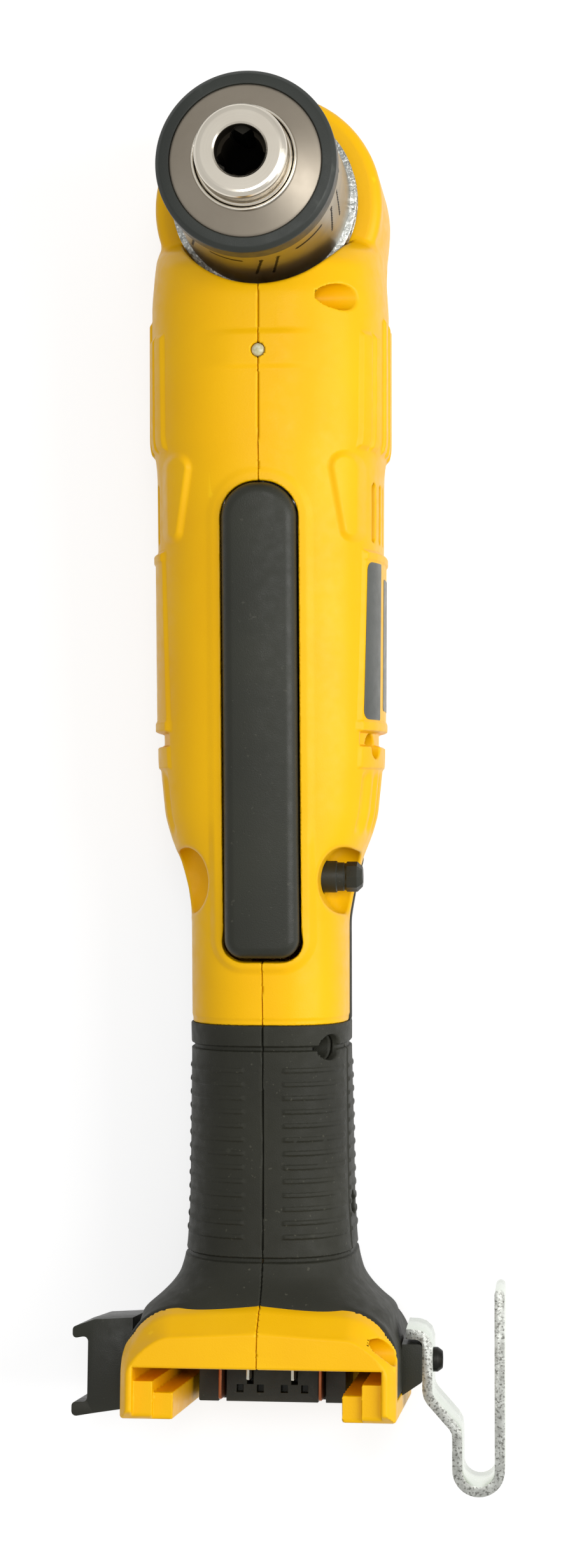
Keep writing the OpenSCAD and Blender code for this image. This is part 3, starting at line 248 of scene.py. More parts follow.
def housing_field(side):
    """Distance field of one yellow shell."""
    def field(x, y, z):
        x = side * x
        ax = np.abs(x)
        along, up = paddle_frame(y, z)
        outline = paddle_outline(x, along)
        base = skin(BODY_TABLE, x, y, z)
        body = rmax(base - relief(ax, y, z, outline), np.maximum(y, NECK_END - y), 0.4)
        head = rmax(rmax(np.hypot(x, y - HEAD_Y) - HEAD_R, z - HEAD_TOP, 3), HEAD_BACK - z, 8)
        outer = rmin(head, body, 2.5)
        tube = skin(GRIP_TABLE, x, y, z)
        outer = np.minimum(outer, np.maximum(tube + 2.3, np.maximum(y + 210, -287 - y)))
        yf, zf = foot_frame(y, z)
        foot = foot_forms(ax, yf, zf)[0]
        outer = np.minimum(outer, foot)
        # Space inside, short of the walls round the chuck, the scoops and the screws
        well_r = np.hypot(x, y)
        scoop_r = (np.hypot((ax - 20.4) / 6.2, (y + 177) / 8.7) - 1) * 6.8
        void = np.maximum(base + 3, np.maximum(y + 6, -211 - y))
        void = np.minimum(void, np.maximum(tube + 5.3, np.maximum(y + 212, -281 - y)))
        void = np.maximum(void, -np.maximum(well_r - 27.5, 42 - z))
        void = np.maximum(void, -np.maximum(scoop_r - 3, 34.8 - z))
        if side > 0:
            void = np.maximum(void, -screw_pockets(x, y, z, 4.9, 2.5))
        void = np.minimum(void, np.maximum(well_r - 25.3, np.maximum(4 - z, z - 42)))
        # The head's flat rim, the chuck's well, the spindle's bore and the seat of the rest pad
        outer = np.maximum(outer, -np.maximum(-6 - y, 45.02 - z))
        outer = rmax(outer, -np.maximum(well_r - 24.5, 45.7 - z), 0.8)
        outer = np.maximum(outer, -np.maximum(well_r - 20.3, np.maximum(40 - z, z - 47)))
        outer = np.maximum(outer, -np.maximum(well_r - 19.1, z - 2.5))
        # The paddle's opening, which is wider at its tail, and the hole of the light
        outer = rmax(outer, -np.maximum(outline - 0.45 - 0.7 * ramp(-along, 108, 116), -4.8 - up), 0.4)
        outer = np.maximum(outer, -np.maximum(np.hypot(x, y - LIGHT_Y) - 1.8, 57 - z))
        # Scoops round the direction button, its bore, vents and screw pockets
        outer = rmax(outer, -rmax(scoop_r, 37.4 - z, 5.5), 0.9)
        outer = np.maximum(outer, 4.45 - np.hypot(y - BUTTON[0], z - BUTTON[1]))
        for zc in (48.8, 42.4, 36, 29.6, 23.2):
            slot = np.hypot(np.maximum(np.abs(y + 81.4) - 6.4, 0), z - zc) - 1.35
            outer = rmax(outer, -np.maximum(slot, 21 - ax), 0.3)
        if side > 0:
            outer = rmax(outer, -screw_pockets(x, y, z, POCKET_R), 0.5)
        # Battery cavity with stepped rails, and the centre slot of the foot
        cavity = np.maximum(np.maximum(ax - 31.4, yf + 299), 8 - zf)
        rail = np.maximum(np.maximum(26.4 - ax, yf + 302.4), zf - 72)
        rail = np.minimum(rail, np.maximum(np.maximum(21.4 - ax, yf + 305.16), zf - 70.5))
        outer = rmax(outer, -rmax(cavity, -rail, 0.3), 0.6)
        window = np.maximum(np.maximum(ax - 12.1, y + 287.9), np.maximum(-307 - y, np.abs(z - 21) - 9.1))
        outer = np.maximum(outer, -window)
        shell = np.maximum(outer, -void)
        return rmax(shell, SHELL_GAP - x, SEAM_ROUND)
    return field


def grip_field(side):
    """Distance field of the rubber on one shell."""
    def field(x, y, z):
        x = side * x
        ax = np.abs(x)
        base = skin(GRIP_TABLE, x, y, z)
        front = ramp(z, 4, 7)
        r = np.zeros_like(base)
        # Ribs across the grip, grooves at its ends and a groove down its side
        first_rib, rib_pitch = -225.5, 3.55
        for k in range(13):
            yc = first_rib - rib_pitch * k
            rib = 0.32 * band(y, yc - 0.55, yc + 0.55, 0.22) * band(ax, 5.2, 27, 0.5)
            r = r + rib * front * (1 - band(z, 41, 45, 0.4))
        for yc in (-220, -274):
            r = r - 0.8 * band(y, yc - 0.6, yc + 0.6, 0.2)
        r = r - 0.6 * band(z, 41.6, 42.4, 0.25) * band(y, -274, -220, 0.5)
        flare = rmax(base - r, np.maximum(y - NECK_END, -298 - y), 0.4)
        yf, zf = foot_frame(y, z)
        foot, wrap = foot_forms(ax, yf, zf)
        outer = rmin(flare, wrap, 1.5)
        # A thin wall above the foot; the rubber runs a little way into the foot below it
        wall, far = 2.1, -1e3
        outer = np.maximum(outer, np.where(y > -286, -base - wall, far).astype(float))
        outer = rmax(outer, -foot - 0.8, 0.25)
        neck = skin(BODY_TABLE, x, y, z)
        tongue = rmax(neck - 0.3, np.maximum(-neck - 1.38, np.maximum(y - TONGUE_TOP, NECK_END - y)), 0.4)
        tongue = rmax(tongue, tongue_place(y, z), 0.4)
        outer = np.minimum(outer, tongue)
        if side > 0:
            outer = rmax(outer, -screw_pockets(x, y, z, POCKET_R), 0.5)
        outer = np.maximum(outer, 2.1 - np.hypot(y - FOOT_SCREW[0], z - FOOT_SCREW[1]))
        return rmax(outer, RUBBER_GAP - x, SEAM_ROUND)
    return field


def paddle_field(x, y, z):
    """Distance field of the paddle, with a crowned face and a lug for its pin."""
    along, up = paddle_frame(y, z)
    crown = 8.2 - 0.009 * x * x
    d = rmax(paddle_outline(x, along), up - crown, 3.0)
    d = rmax(d, -0.8 - up, 0.5)
    lug = np.maximum(np.hypot(along, up) - 4, np.abs(x) - 5)
    return np.maximum(np.minimum(d, lug), 2.05 - np.hypot(along, up))


def field_mesh(field, lo, hi, step):
    """Surface of a distance field as quads: one point in each cell that the surface crosses."""
    axes = [np.arange(a, b + s, s, dtype=np.float32) for a, b, s in zip(lo, hi, step)]
    f = field(axes[0][:, None, None], axes[1][None, :, None], axes[2][None, None, :]).astype(np.float32)
    shape = np.array(f.shape)
    inside = f < 0
    total = np.zeros(shape - 1, np.float32)
    place = [np.zeros(shape - 1, np.float32) for _ in range(3)]
    crossings = []
    for k in range(3):
        cut = [slice(None)] * 3
        nxt = [slice(None)] * 3
        cut[k], nxt[k] = slice(0, -1), slice(1, None)
        hit = inside[tuple(cut)] != inside[tuple(nxt)]
        idx = np.argwhere(hit)
        f0 = f[tuple(cut)][hit]
        t = f0 / (f0 - f[tuple(nxt)][hit])
        crossings.append((idx, inside[tuple(cut)][hit]))
        others = [m for m in range(3) if m != k]
        for da in (0, 1):
            for db in (0, 1):
                cell = idx.copy()
                cell[:, others[0]] -= da
                cell[:, others[1]] -= db
                ok = np.all((cell >= 0) & (cell < shape - 1), axis=1)
                c = tuple(cell[ok].T)
                np.add.at(total, c, 1)
                for m in range(3):
                    off = t[ok] if m == k else (da if m == others[0] else db)
                    np.add.at(place[m], c, off)
    used = total > 0
    number = np.full(used.shape, -1, np.int64)
    number[used] = np.arange(used.sum())
    cells = np.argwhere(used)
    verts = np.stack([axes[m][cells[:, m]] + place[m][used] / total[used] * step[m] for m in range(3)], 1)
    quads = []
    for k, (idx, first_in) in enumerate(crossings):
        a, b = [(1, 2), (2, 0), (0, 1)][k]
        ok = (idx[:, a] > 0) & (idx[:, b] > 0) & (idx[:, a] < shape[a] - 1) & (idx[:, b] < shape[b] - 1)
        idx, first_in = idx[ok], first_in[ok]
        ring = []
        for da, db in ((1, 1), (0, 1), (0, 0), (1, 0)):
            cell = idx.copy()
            cell[:, a] -= da
            cell[:, b] -= db
            ring.append(number[tuple(cell.T)])
        ring = np.stack(ring, 1)
        ring[~first_in] = ring[~first_in][:, ::-1]
        quads.append(ring)
    quads = np.concatenate(quads)
    # Each point then moves on to the surface, a short way at a time
    most = 0.3
    for _ in range(3):
        d, n = field_slope(field, verts)
        verts = verts - np.clip(d, -most, most)[:, None] * n
    return verts, quads


def field_slope(field, p):
    """Distance to the surface along the slope, and the slope's direction."""
    h = 0.06
    d = field(p[:, 0], p[:, 1], p[:, 2])
    g = np.stack([field(*(p + h * e).T) - field(*(p - h * e).T) for e in np.eye(3)], 1) / (2 * h)
    size = np.linalg.norm(g, axis=1)
    return d / np.maximum(size, 0.3), g / np.maximum(size, 1e-6)[:, None]


# Pieces
def finish_piece(obj, body, materials, replaced=()):
    """Give a piece its materials, the body it rides on and the nodes it replaces."""
    for material in materials if isinstance(materials, list) else [materials]:
        obj.data.materials.append(material)
    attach(obj, body)
    if replaced:
        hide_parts(*replaced)
    return obj


def linked(name, data):
    """A new object in the scene."""
    obj = bpy.data.objects.new(name, data)
    bpy.context.scene.collection.objects.link(obj)
    return obj


def mesh_object(name, verts, faces):
    """An object from points in millimetres."""
    faces = faces.tolist() if isinstance(faces, np.ndarray) else faces
    mesh = bpy.data.meshes.new(name)
    mesh.from_pydata((np.asarray(verts, float) * MM).tolist(), [], faces)
    mesh.update()
    return linked(name, mesh)


def apply_modifiers(obj):
    graph = bpy.context.evaluated_depsgraph_get()
    mesh = bpy.data.meshes.new_from_object(obj.evaluated_get(graph))
    obj.modifiers.clear()
    obj.data = mesh


def moulded(name, field, lo, hi, step, keep):
    """A piece from a distance field, thinned to a share of its faces, with the field's own normals."""
    verts, quads = field_mesh(field, lo, hi, step)
    obj = mesh_object(name, verts, quads)
    thin = obj.modifiers.new("thin", "DECIMATE")
    thin.ratio = keep
    apply_modifiers(obj)
    mesh = obj.data
    co = np.zeros(len(mesh.vertices) * 3, np.float32)
    mesh.vertices.foreach_get("co", co)
    co = co.reshape(-1, 3).astype(float) / MM
    count, corner = np.zeros(len(mesh.polygons), int), np.zeros(len(mesh.loops), int)
    mesh.polygons.foreach_get("loop_total", count)
    mesh.loops.foreach_get("vertex_index", corner)
    first = np.cumsum(count) - count
    centre = np.add.reduceat(co[corner], first) / count[:, None]
    # A corner next to a crease takes the normal a little way into its own face
    inward, crease_angle = 0.3, 9
    at_point = field_slope(field, co)[1][corner]
    moved = (1 - inward) * co[corner] + inward * np.repeat(centre, count, 0)
    in_face = field_slope(field, moved)[1]
    crease = np.sum(at_point * in_face, 1) < math.cos(math.radians(crease_angle))
    mesh.shade_smooth()
    mesh.normals_split_custom_set(np.where(crease[:, None], in_face, at_point).tolist())
    return obj


def shade(obj, angle=35):
    """Smooth shading, with edges sharper than the angle kept."""
    mesh = obj.data
    mesh.shade_smooth()
    bm = bmesh.new()
    bm.from_mesh(mesh)
    for e in bm.edges:
        e.smooth = len(e.link_faces) == 2 and e.calc_face_angle() < math.radians(angle)
    bm.to_mesh(mesh)
    bm.free()
    return obj


def bevelled(obj, width, segments):
    """Round the edges of 30 degrees and more."""
    mod = obj.modifiers.new("edge", "BEVEL")
    mod.width = width * MM
    mod.segments = segments
    mod.limit_method = "ANGLE"
    mod.angle_limit = math.radians(30)
    apply_modifiers(obj)
    return shade(obj, 40)


def fillet(points, radii, steps=4):
    """A closed outline with its corners rounded."""
    out = []
    n = len(points)
    radii = radii if isinstance(radii, (list, tuple)) else [radii] * n
    for i in range(n):
        p, a, b = (Vector(points[k % n]) for k in (i, i - 1, i + 1))
        r = radii[i]
        u, v = (a - p), (b - p)
        if r <= 0 or u.length < 1e-6 or v.length < 1e-6:
            out.append(tuple(p))
            continue
        angle = u.angle(v)
        if angle > math.radians(178):
            out.append(tuple(p))
            continue
        back = min(r / math.tan(angle / 2), 0.49 * u.length, 0.49 * v.length)
        r = back * math.tan(angle / 2)
        centre = p + (u.normalized() + v.normalized()).normalized() * (r / math.sin(angle / 2))
        s, e = p + u.normalized() * back - centre, p + v.normalized() * back - centre
        turn = s.angle_signed(e)
        for k in range(steps + 1):
            c, q = math.cos(-turn * k / steps), math.sin(-turn * k / steps)
            out.append((centre.x + s.x * c - s.y * q, centre.y + s.x * q + s.y * c))
    return out


def box(left, right, low, high):
    """The corners of an oblong."""
    return [(left, low), (right, low), (right, high), (left, high)]


def lathe(name, profile, segments, grow=None, axis="z", place=(0, 0, 0)):
    """A closed profile of (radius, height) turned round Z or X; grow(angle, r, h) moves a point outwards."""
    profile = np.array(profile, float)
    m = len(profile)
    angles = np.arange(segments) * 2 * math.pi / segments
    r = np.repeat(profile[None, :, 0], segments, 0)
    h = np.repeat(profile[None, :, 1], segments, 0)
    a = np.repeat(angles[:, None], m, 1)
    if grow is not None:
        r = r + grow(a, r, h)
    x, y = r * np.cos(a), r * np.sin(a)
    points = (x, y, h) if axis == "z" else (h, x, y)
    verts = np.stack([p + o for p, o in zip(points, place)], -1).reshape(-1, 3)
    i, j = np.meshgrid(np.arange(segments), np.arange(m), indexing="ij")
    i2, j2 = (i + 1) % segments, (j + 1) % m
    quads = np.stack([i * m + j, i2 * m + j, i2 * m + j2, i * m + j2], -1).reshape(-1, 4)
    obj = mesh_object(name, verts, quads)
    bm = bmesh.new()
    bm.from_mesh(obj.data)
    bmesh.ops.remove_doubles(bm, verts=bm.verts, dist=1e-7)
    bmesh.ops.dissolve_degenerate(bm, edges=bm.edges, dist=1e-7)
    bmesh.ops.recalc_face_normals(bm, faces=bm.faces)
    bm.to_mesh(obj.data)
    bm.free()
    return shade(obj)


def prism(name, outline, low, high, axis="z"):
    """An outline pulled along Z or X, as a closed solid."""
    n = len(outline)
    verts = [(*p, t) if axis == "z" else (t, *p) for t in (low, high) for p in outline]
    faces = [list(range(n))[::-1], list(range(n, 2 * n))]
    faces += [[i, (i + 1) % n, n + (i + 1) % n, n + i] for i in range(n)]
    obj = mesh_object(name, verts, faces)
    bm = bmesh.new()
    bm.from_mesh(obj.data)
    bmesh.ops.recalc_face_normals(bm, faces=bm.faces)
    bm.to_mesh(obj.data)
    bm.free()
    return obj


def joined(name, objs):
    """Several meshes as one object."""
    bm = bmesh.new()
    for o in objs:
        bm.from_mesh(o.data)
    mesh = bpy.data.meshes.new(name)
    bm.to_mesh(mesh)
    bm.free()
    for o in objs:
        bpy.data.objects.remove(o)
    return linked(name, mesh)


def cut(obj, cutter):
    """Take the cutter's shape out of a piece, and then the cutter itself away."""
    mod = obj.modifiers.new("cut", "BOOLEAN")
    mod.operation = "DIFFERENCE"
    mod.solver = "EXACT"
    mod.object = cutter
    apply_modifiers(obj)
    bpy.data.objects.remove(cutter)


def leaned(obj, about):
    """Turn a piece square to the foot, about a line across it at Y and Z."""
    there = Matrix.Translation((0, about[0] * MM, about[1] * MM))
    back = Matrix.Translation((0, -about[0] * MM, -about[1] * MM))
    obj.data.transform(there @ Matrix.Rotation(-TILT, 4, "X") @ back)
    return obj


# Materials
def srgb(*levels):
    """Linear colour from red, green and blue of 0 to 255."""
    shares = [level / 255 for level in levels]
    return tuple(c / 12.92 if c <= 0.04045 else ((c + 0.055) / 1.055) ** 2.4 for c in shares)


class Finish:
    """A procedural material: colour that varies, roughness that varies, and fine relief."""

    def __init__(self, name, rough, metallic=0.0, specular=0.5):
        self.mat = bpy.data.materials.new(name)
        self.mat.use_nodes = True
        self.nodes, self.links = self.mat.node_tree.nodes, self.mat.node_tree.links
        self.bsdf = self.nodes["Principled BSDF"]
        self.bsdf.inputs["Metallic"].default_value = metallic
        self.bsdf.inputs["Roughness"].default_value = rough
        self.bsdf.inputs["Specular IOR Level"].default_value = specular
        self.coords = self.nodes.new("ShaderNodeTexCoord").outputs["Object"]
        self.normal = None

    def noise(self, scale, detail, rough=0.5):
        n = self.nodes.new("ShaderNodeTexNoise")
        n.inputs["Scale"].default_value = scale
        n.inputs["Detail"].default_value = detail
        n.inputs["Roughness"].default_value = rough
        self.links.new(self.coords, n.inputs["Vector"])
        return n.outputs["Fac"]

    def cells(self, scale):
        n = self.nodes.new("ShaderNodeTexVoronoi")
        n.inputs["Scale"].default_value = scale
        self.links.new(self.coords, n.inputs["Vector"])
        return n.outputs["Distance"]

    def rings(self, scale):
        """Fine rings round the Z axis."""
        n = self.nodes.new("ShaderNodeTexWave")
        n.wave_type = "RINGS"
        n.rings_direction = "Z"
        n.inputs["Scale"].default_value = scale
        n.inputs["Distortion"].default_value = 1.5
        n.inputs["Detail"].default_value = 2.0
        self.links.new(self.coords, n.inputs["Vector"])
        return n.outputs["Fac"]

    def spread(self, fac, lo, hi, to_lo=0.0, to_hi=1.0):
        """A value's range from lo to hi, stretched to another range."""
        n = self.nodes.new("ShaderNodeMapRange")
        n.inputs["From Min"].default_value = lo
        n.inputs["From Max"].default_value = hi
        n.inputs["To Min"].default_value = to_lo
        n.inputs["To Max"].default_value = to_hi
        self.links.new(fac, n.inputs["Value"])
        return n.outputs["Result"]

    def edges(self, lo, hi):
        """1 on worn outer edges."""
        g = self.nodes.new("ShaderNodeNewGeometry")
        return self.spread(g.outputs["Pointiness"], lo, hi)

    def blend(self, fac, a, b):
        n = self.nodes.new("ShaderNodeMix")
        n.data_type = "RGBA"
        for socket, value in ((n.inputs[6], a), (n.inputs[7], b)):
            if isinstance(value, tuple):
                socket.default_value = (*value, 1)
            else:
                self.links.new(value, socket)
        self.links.new(fac, n.inputs["Factor"])
        return n.outputs[2]

    def colour(self, out):
        self.links.new(out, self.bsdf.inputs["Base Color"])

    def roughness(self, out):
        self.links.new(out, self.bsdf.inputs["Roughness"])

    def bump(self, out, distance):
        """Relief, on top of the relief that is there already."""
        n = self.nodes.new("ShaderNodeBump")
        n.inputs["Distance"].default_value = distance
        self.links.new(out, n.inputs["Height"])
        if self.normal:
            self.links.new(self.normal, n.inputs["Normal"])
        self.normal = n.outputs["Normal"]
        self.links.new(self.normal, self.bsdf.inputs["Normal"])


# Depths of the relief are in metres
TURNED_DEPTH = 0.0000012


def plastic(name, main, dark, light, rough, grain=0.00006, specular=0.5, fine=2600, dust=None):
    """Plastic or rubber with a fine grain, lighter worn edges and, if asked for, specks of dust."""
    f = Finish(name, rough, specular=specular)
    tone = f.blend(f.spread(f.noise(45, 4), 0.35, 0.65), dark, main)
    tone = f.blend(f.edges(0.53, 0.62), tone, light)
    if dust:
        specks = f.spread(f.noise(900, 2, 0.4), 0.70, 0.76)
        tone = f.blend(specks, tone, dust)
    f.colour(tone)
    f.roughness(f.spread(f.noise(350, 3), 0.3, 0.7, rough - 0.05, rough + 0.07))
    f.bump(f.noise(fine, 2, 0.6), grain)
    return f.mat


def metal(name, main, dark, rough, fine=1800, grain=0.000003, turned=None, spotty=None, patch=60):
    """Metal with a patchy tone and, if asked for, turning rings and bright or dark spots."""
    f = Finish(name, rough, metallic=1.0)
    tone = f.blend(f.spread(f.noise(patch, 4, 0.55), 0.3, 0.7), dark, main)
    if spotty:
        tone = f.blend(f.spread(f.noise(1500, 3, 0.7), 0.52, 0.6), tone, spotty)
    f.colour(tone)
    f.roughness(f.spread(f.noise(180, 3), 0.3, 0.7, rough - 0.03, rough + 0.05))
    if turned:
        f.bump(f.rings(turned), TURNED_DEPTH)
    f.bump(f.noise(fine, 3, 0.6), grain)
    return f.mat


def shaded_bore_metal(name, main, dark, bore, r):
    """Bright turned metal, with painted shade inside a bore of radius r round the Z axis: dark and rougher
    there.
    """
    rough, bore_rough = 0.22, 0.62
    f = Finish(name, rough, metallic=1.0)
    tone = f.blend(f.spread(f.noise(60, 4, 0.55), 0.3, 0.7), dark, main)
    split = f.nodes.new("ShaderNodeSeparateXYZ")
    flat = f.nodes.new("ShaderNodeCombineXYZ")
    size = f.nodes.new("ShaderNodeVectorMath")
    size.operation = "LENGTH"
    f.links.new(f.coords, split.inputs[0])
    f.links.new(split.outputs["X"], flat.inputs["X"])
    f.links.new(split.outputs["Y"], flat.inputs["Y"])
    f.links.new(flat.outputs[0], size.inputs[0])
    # The bore's dark colour is painted shade, the darkness of the hole, not a finish of the metal
    inside = f.spread(size.outputs["Value"], (r + 0.08) * MM, (r - 0.02) * MM)
    f.colour(f.blend(inside, tone, bore))
    f.roughness(f.spread(inside, 0, 1, rough, bore_rough))
    f.bump(f.rings(420), TURNED_DEPTH)
    return f.mat


YELLOW = plastic("yellow_plastic", srgb(250, 191, 0), srgb(247, 186, 0), srgb(254, 199, 10), 0.38, 0.00003,
                 specular=0.2)
RUBBER = plastic("black_rubber_skin", srgb(42, 42, 33), srgb(37, 37, 29), srgb(52, 52, 43), 0.58, 0.00008,
                 specular=0.25, fine=3200, dust=srgb(66, 65, 55))
BLACK = plastic("black_nylon", srgb(43, 44, 35), srgb(38, 39, 31), srgb(53, 53, 45), 0.42, 0.00004,
                specular=0.3, dust=srgb(58, 58, 49))
RING_BLACK = plastic("chuck_ring_black", srgb(48, 51, 47), srgb(43, 46, 42), srgb(58, 61, 56), 0.42, 0.00003,
                     specular=0.3)
NICKEL = metal("bright_nickel", srgb(218, 211, 197), srgb(208, 200, 186), 0.2, turned=420)
DULL = metal("dull_nickel", srgb(156, 147, 133), srgb(146, 137, 123), 0.5, turned=520)
SLEEVE = metal("sleeve_steel", srgb(150, 147, 136), srgb(134, 131, 121), 0.32, turned=300)
MARK = metal("sleeve_mark", srgb(34, 32, 29), srgb(24, 23, 21), 0.6)
GRIT = metal("grit_band", srgb(178, 179, 174), srgb(112, 114, 111), 0.38, fine=900, grain=0.0002,
             spotty=srgb(222, 223, 218), patch=700)
JAW = metal("jaw_steel", srgb(48, 46, 41), srgb(38, 36, 32), 0.5)
STEEL = metal("ground_steel", srgb(150, 150, 150), srgb(128, 128, 129), 0.33, turned=260)
CAST = metal("cast_case", srgb(170, 170, 172), srgb(150, 150, 152), 0.5, fine=700, grain=0.0001)
MAGNET = metal("magnet_ferrite", srgb(62, 62, 64), srgb(50, 50, 52), 0.6)
COPPER = metal("copper", srgb(176, 108, 72), srgb(142, 82, 52), 0.36)
ZINC = metal("zinc_face", srgb(226, 231, 222), srgb(214, 220, 210), 0.26, fine=600, grain=0.00001)
SHEAR = metal("zinc_edge", srgb(206, 208, 202), srgb(168, 169, 163), 0.4, fine=900, grain=0.0001,
              spotty=srgb(120, 120, 114), patch=300)
SILVER = metal("contact_silver", srgb(208, 204, 190), srgb(186, 181, 166), 0.3)
OXIDE = metal("black_oxide", srgb(58, 58, 56), srgb(44, 44, 42), 0.46)
BOARD = plastic("circuit_board", srgb(36, 104, 60), srgb(28, 88, 50), srgb(60, 130, 84), 0.4)
LEADS = plastic("lead_cover", srgb(150, 34, 30), srgb(120, 26, 24), srgb(170, 60, 54), 0.45)
LABEL = plastic("label_film", srgb(66, 69, 64), srgb(58, 61, 56), srgb(80, 82, 76), 0.34, 0.00002)
# The nose's bore is painted dark, as painted shade of the hole
NOSE = shaded_bore_metal("nose_nickel_with_bore_shade", srgb(218, 211, 197), srgb(208, 200, 186), srgb(44, 40, 33), 6.35)

glass = Finish("light_lens", 0.12)
glass.bsdf.inputs["Transmission Weight"].default_value = 0.25
glass.bsdf.inputs["IOR"].default_value = 1.46
facets = glass.spread(glass.cells(900), 0.1, 0.5)
glass.colour(glass.blend(facets, srgb(250, 247, 220), srgb(222, 216, 168)))
LENS = glass.mat


# Moulded pieces; the walls of the pockets in the rubber are black too
def in_grip_pocket(point):
    c = point / MM
    return any(math.hypot(c.y - sy, c.z - sz) < 6 and c.x > seat - 2 and c.y < -215
               for sy, sz, seat in GRIP_SCREWS)


for side, half in ((1, "right"), (-1, "left")):
    left, right = (-0.6, 36) if side > 0 else (-36, 0.6)
    shell = moulded("shell_" + half, housing_field(side), (left, -320.2, -1), (right, 31.2, 77.2),
                    (0.5, 0.6, 0.5), 0.24)
    finish_piece(shell, "housing", [YELLOW, RUBBER], ["housing_" + half])
    if side > 0:
        for poly in shell.data.polygons:
            poly.material_index = int(in_grip_pocket(poly.center))
    wrap = moulded("rubber_" + half, grip_field(side), (left, -315.6, -1), (right, -166, 70.4),
                   (0.7, 0.4, 0.7), 0.35)
    finish_piece(wrap, "housing", RUBBER, ["grip_" + half])
lever = moulded("switch_paddle", paddle_field, (-10.4, -198, 52), (10.4, -73, 71.4), (0.5, 0.5, 0.5), 0.4)
finish_piece(lever, "paddle", BLACK, ["paddle"])


# Chuck: the sleeve's front edge, and the heights of its dashes and dots
SLEEVE_R = 21.5
SLEEVE_TOP = 87.7
DASH_Z = 80.5
DOT_Z = 80.6
GRIT_ROUND, GRIT_UP = 240, 64


def near(angle, centre, half):
    """How far inside a span of angle, in radians."""
    return half - np.abs((angle - centre + math.pi) % (2 * math.pi) - math.pi)


def sleeve_radius(h):
    """The sleeve widens a little to the back."""
    return SLEEVE_R + (SLEEVE_TOP - h) * 0.03


def sleeve_marks(a, r, h):
    """Engraved marks: short thick dashes round the sleeve, and slanting thin lines that end in dots."""
    soft = 0.12
    deep = np.zeros_like(a)
    for k in range(6):
        c = math.radians(60 * k + 12)
        dash = np.minimum(near(a, c, 0.2) * SLEEVE_R, 0.5 - np.abs(h - DASH_Z))
        deep = np.maximum(deep, ramp(dash, -soft, soft))
        for step in (0.42, 0.62):
            slant = c + step + (h - DASH_Z) * 0.009
            line = np.minimum(near(a, slant, 0.013) * SLEEVE_R, 7 - np.abs(h - 73.5))
            dot = 0.6 - np.hypot(near(a, c + step, 0.0) * SLEEVE_R, h - DOT_Z)
            deep = np.maximum(deep, ramp(np.maximum(line, dot), -soft, soft))
    return np.where(r > 20.9, -0.06 * deep, 0.0)


heights = [float(v) for v in np.linspace(54.1, 87.6, 104)]
wall = [(sleeve_radius(v), v) for v in heights[::-1]]
front_edge = [(18.6, 88.0), (21.2, 88.0), (SLEEVE_R, SLEEVE_TOP)]
back_edge = [(22.5, 53.9), (22.1, 53.3), (18.6, 53.3)]
sleeve = lathe("turned_sleeve", front_edge + wall + back_edge, 480, sleeve_marks)
finish_piece(sleeve, "sleeve", [SLEEVE, MARK], ["chuck_sleeve"])
for poly in sleeve.data.polygons:
    height = poly.center.z / MM
    depth = sleeve_radius(height) - math.hypot(poly.center.x, poly.center.y) / MM
    if 0.025 < depth < 1 and 54.5 < height < 87.2:
        poly.material_index = 1

ring = lathe("front_ring", fillet([(18.85, 88.05), (22.4, 88.05), (22.4, 94.6), (21.3, 95.7), (18.85, 96)],
                                  [0.2, 0.5, 0.9, 0.9, 0.25], 5), 160)
finish_piece(ring, "sleeve", RING_BLACK, ["chuck_ring"])

cone_line = [(12.3, 88.3), (18.8, 88.3), (18.8, 95.6), (18.2, 96), (13.2, 98.6), (12.9, 99.4), (12.3, 99.4)]
cone = lathe("bevel_face", fillet(cone_line, [0.2, 0.2, 0.3, 0.2, 0.15, 0.25, 0.3]), 160)
finish_piece(cone, "sleeve", [DULL, NICKEL], ["chuck_face"])
for poly in cone.data.polygons:
    if poly.center.z / MM > 98.7:
        poly.material_index = 1

rng = np.random.default_rng(11)
lumps = rng.random((GRIT_ROUND, GRIT_UP))


def grit(a, r, h):
    """Lumps on the collar's rim, pressed in by chance."""
    i = (a / (2 * math.pi) * GRIT_ROUND).astype(int) % GRIT_ROUND
    j = np.clip((h - 48) / 5 * 13, 0, GRIT_UP - 1).astype(int)
    return np.where((r > 23) & (h > 48.3) & (h < 52.7), -0.55 * lumps[i, j], 0)


rim = [(24.1, float(v)) for v in np.linspace(48.3, 52.7, 14)]
collar = lathe("grit_collar", [(18.5, 48.05), (23.7, 48.05)] + rim + [(23.7, 52.95), (18.5, 52.95)],
               GRIT_ROUND, grit)
finish_piece(collar, "spindle", GRIT, ["chuck_collar"])


# Belt hook: a bent strip with a rounded tip, bright on its flats and speckled on its sheared edges
HOOK_Z = (29.5, 46.5)


def hook_outline(t):
    """The strip of thickness t round its bent centre line, seen from the front."""
    line = [(36, -294.5), (38.6, -294.6), (39.9, -295.0), (41.0, -296.0), (41.5, -297.4), (41.5, -309.2),
            (41.8, -310.6), (42.5, -311.8), (48.2, -318.2), (49.0, -319.6), (49.2, -321.2)]
    line += [(54.7 + 5.5 * math.cos(math.radians(a)), -329.5 + 5.5 * math.sin(math.radians(a)))
             for a in range(180, 361, 9)]
    line += [(60.2, -300), (60.2, -282.7 - t / 2)]
    left, right = [], []
    for i, p in enumerate(line):
        a, b = line[max(i - 1, 0)], line[min(i + 1, len(line) - 1)]
        d = math.hypot(b[0] - a[0], b[1] - a[1])
        nx, ny = -(b[1] - a[1]) / d * t / 2, (b[0] - a[0]) / d * t / 2
        left.append((p[0] + nx, p[1] + ny))
        right.append((p[0] - nx, p[1] - ny))
    tip = line[-1]
    cap = [(tip[0] + t / 2 * math.cos(math.radians(a)), tip[1] + t / 2 * math.sin(math.radians(a)))
           for a in range(160, 19, -20)]
    return left + cap + right[::-1]


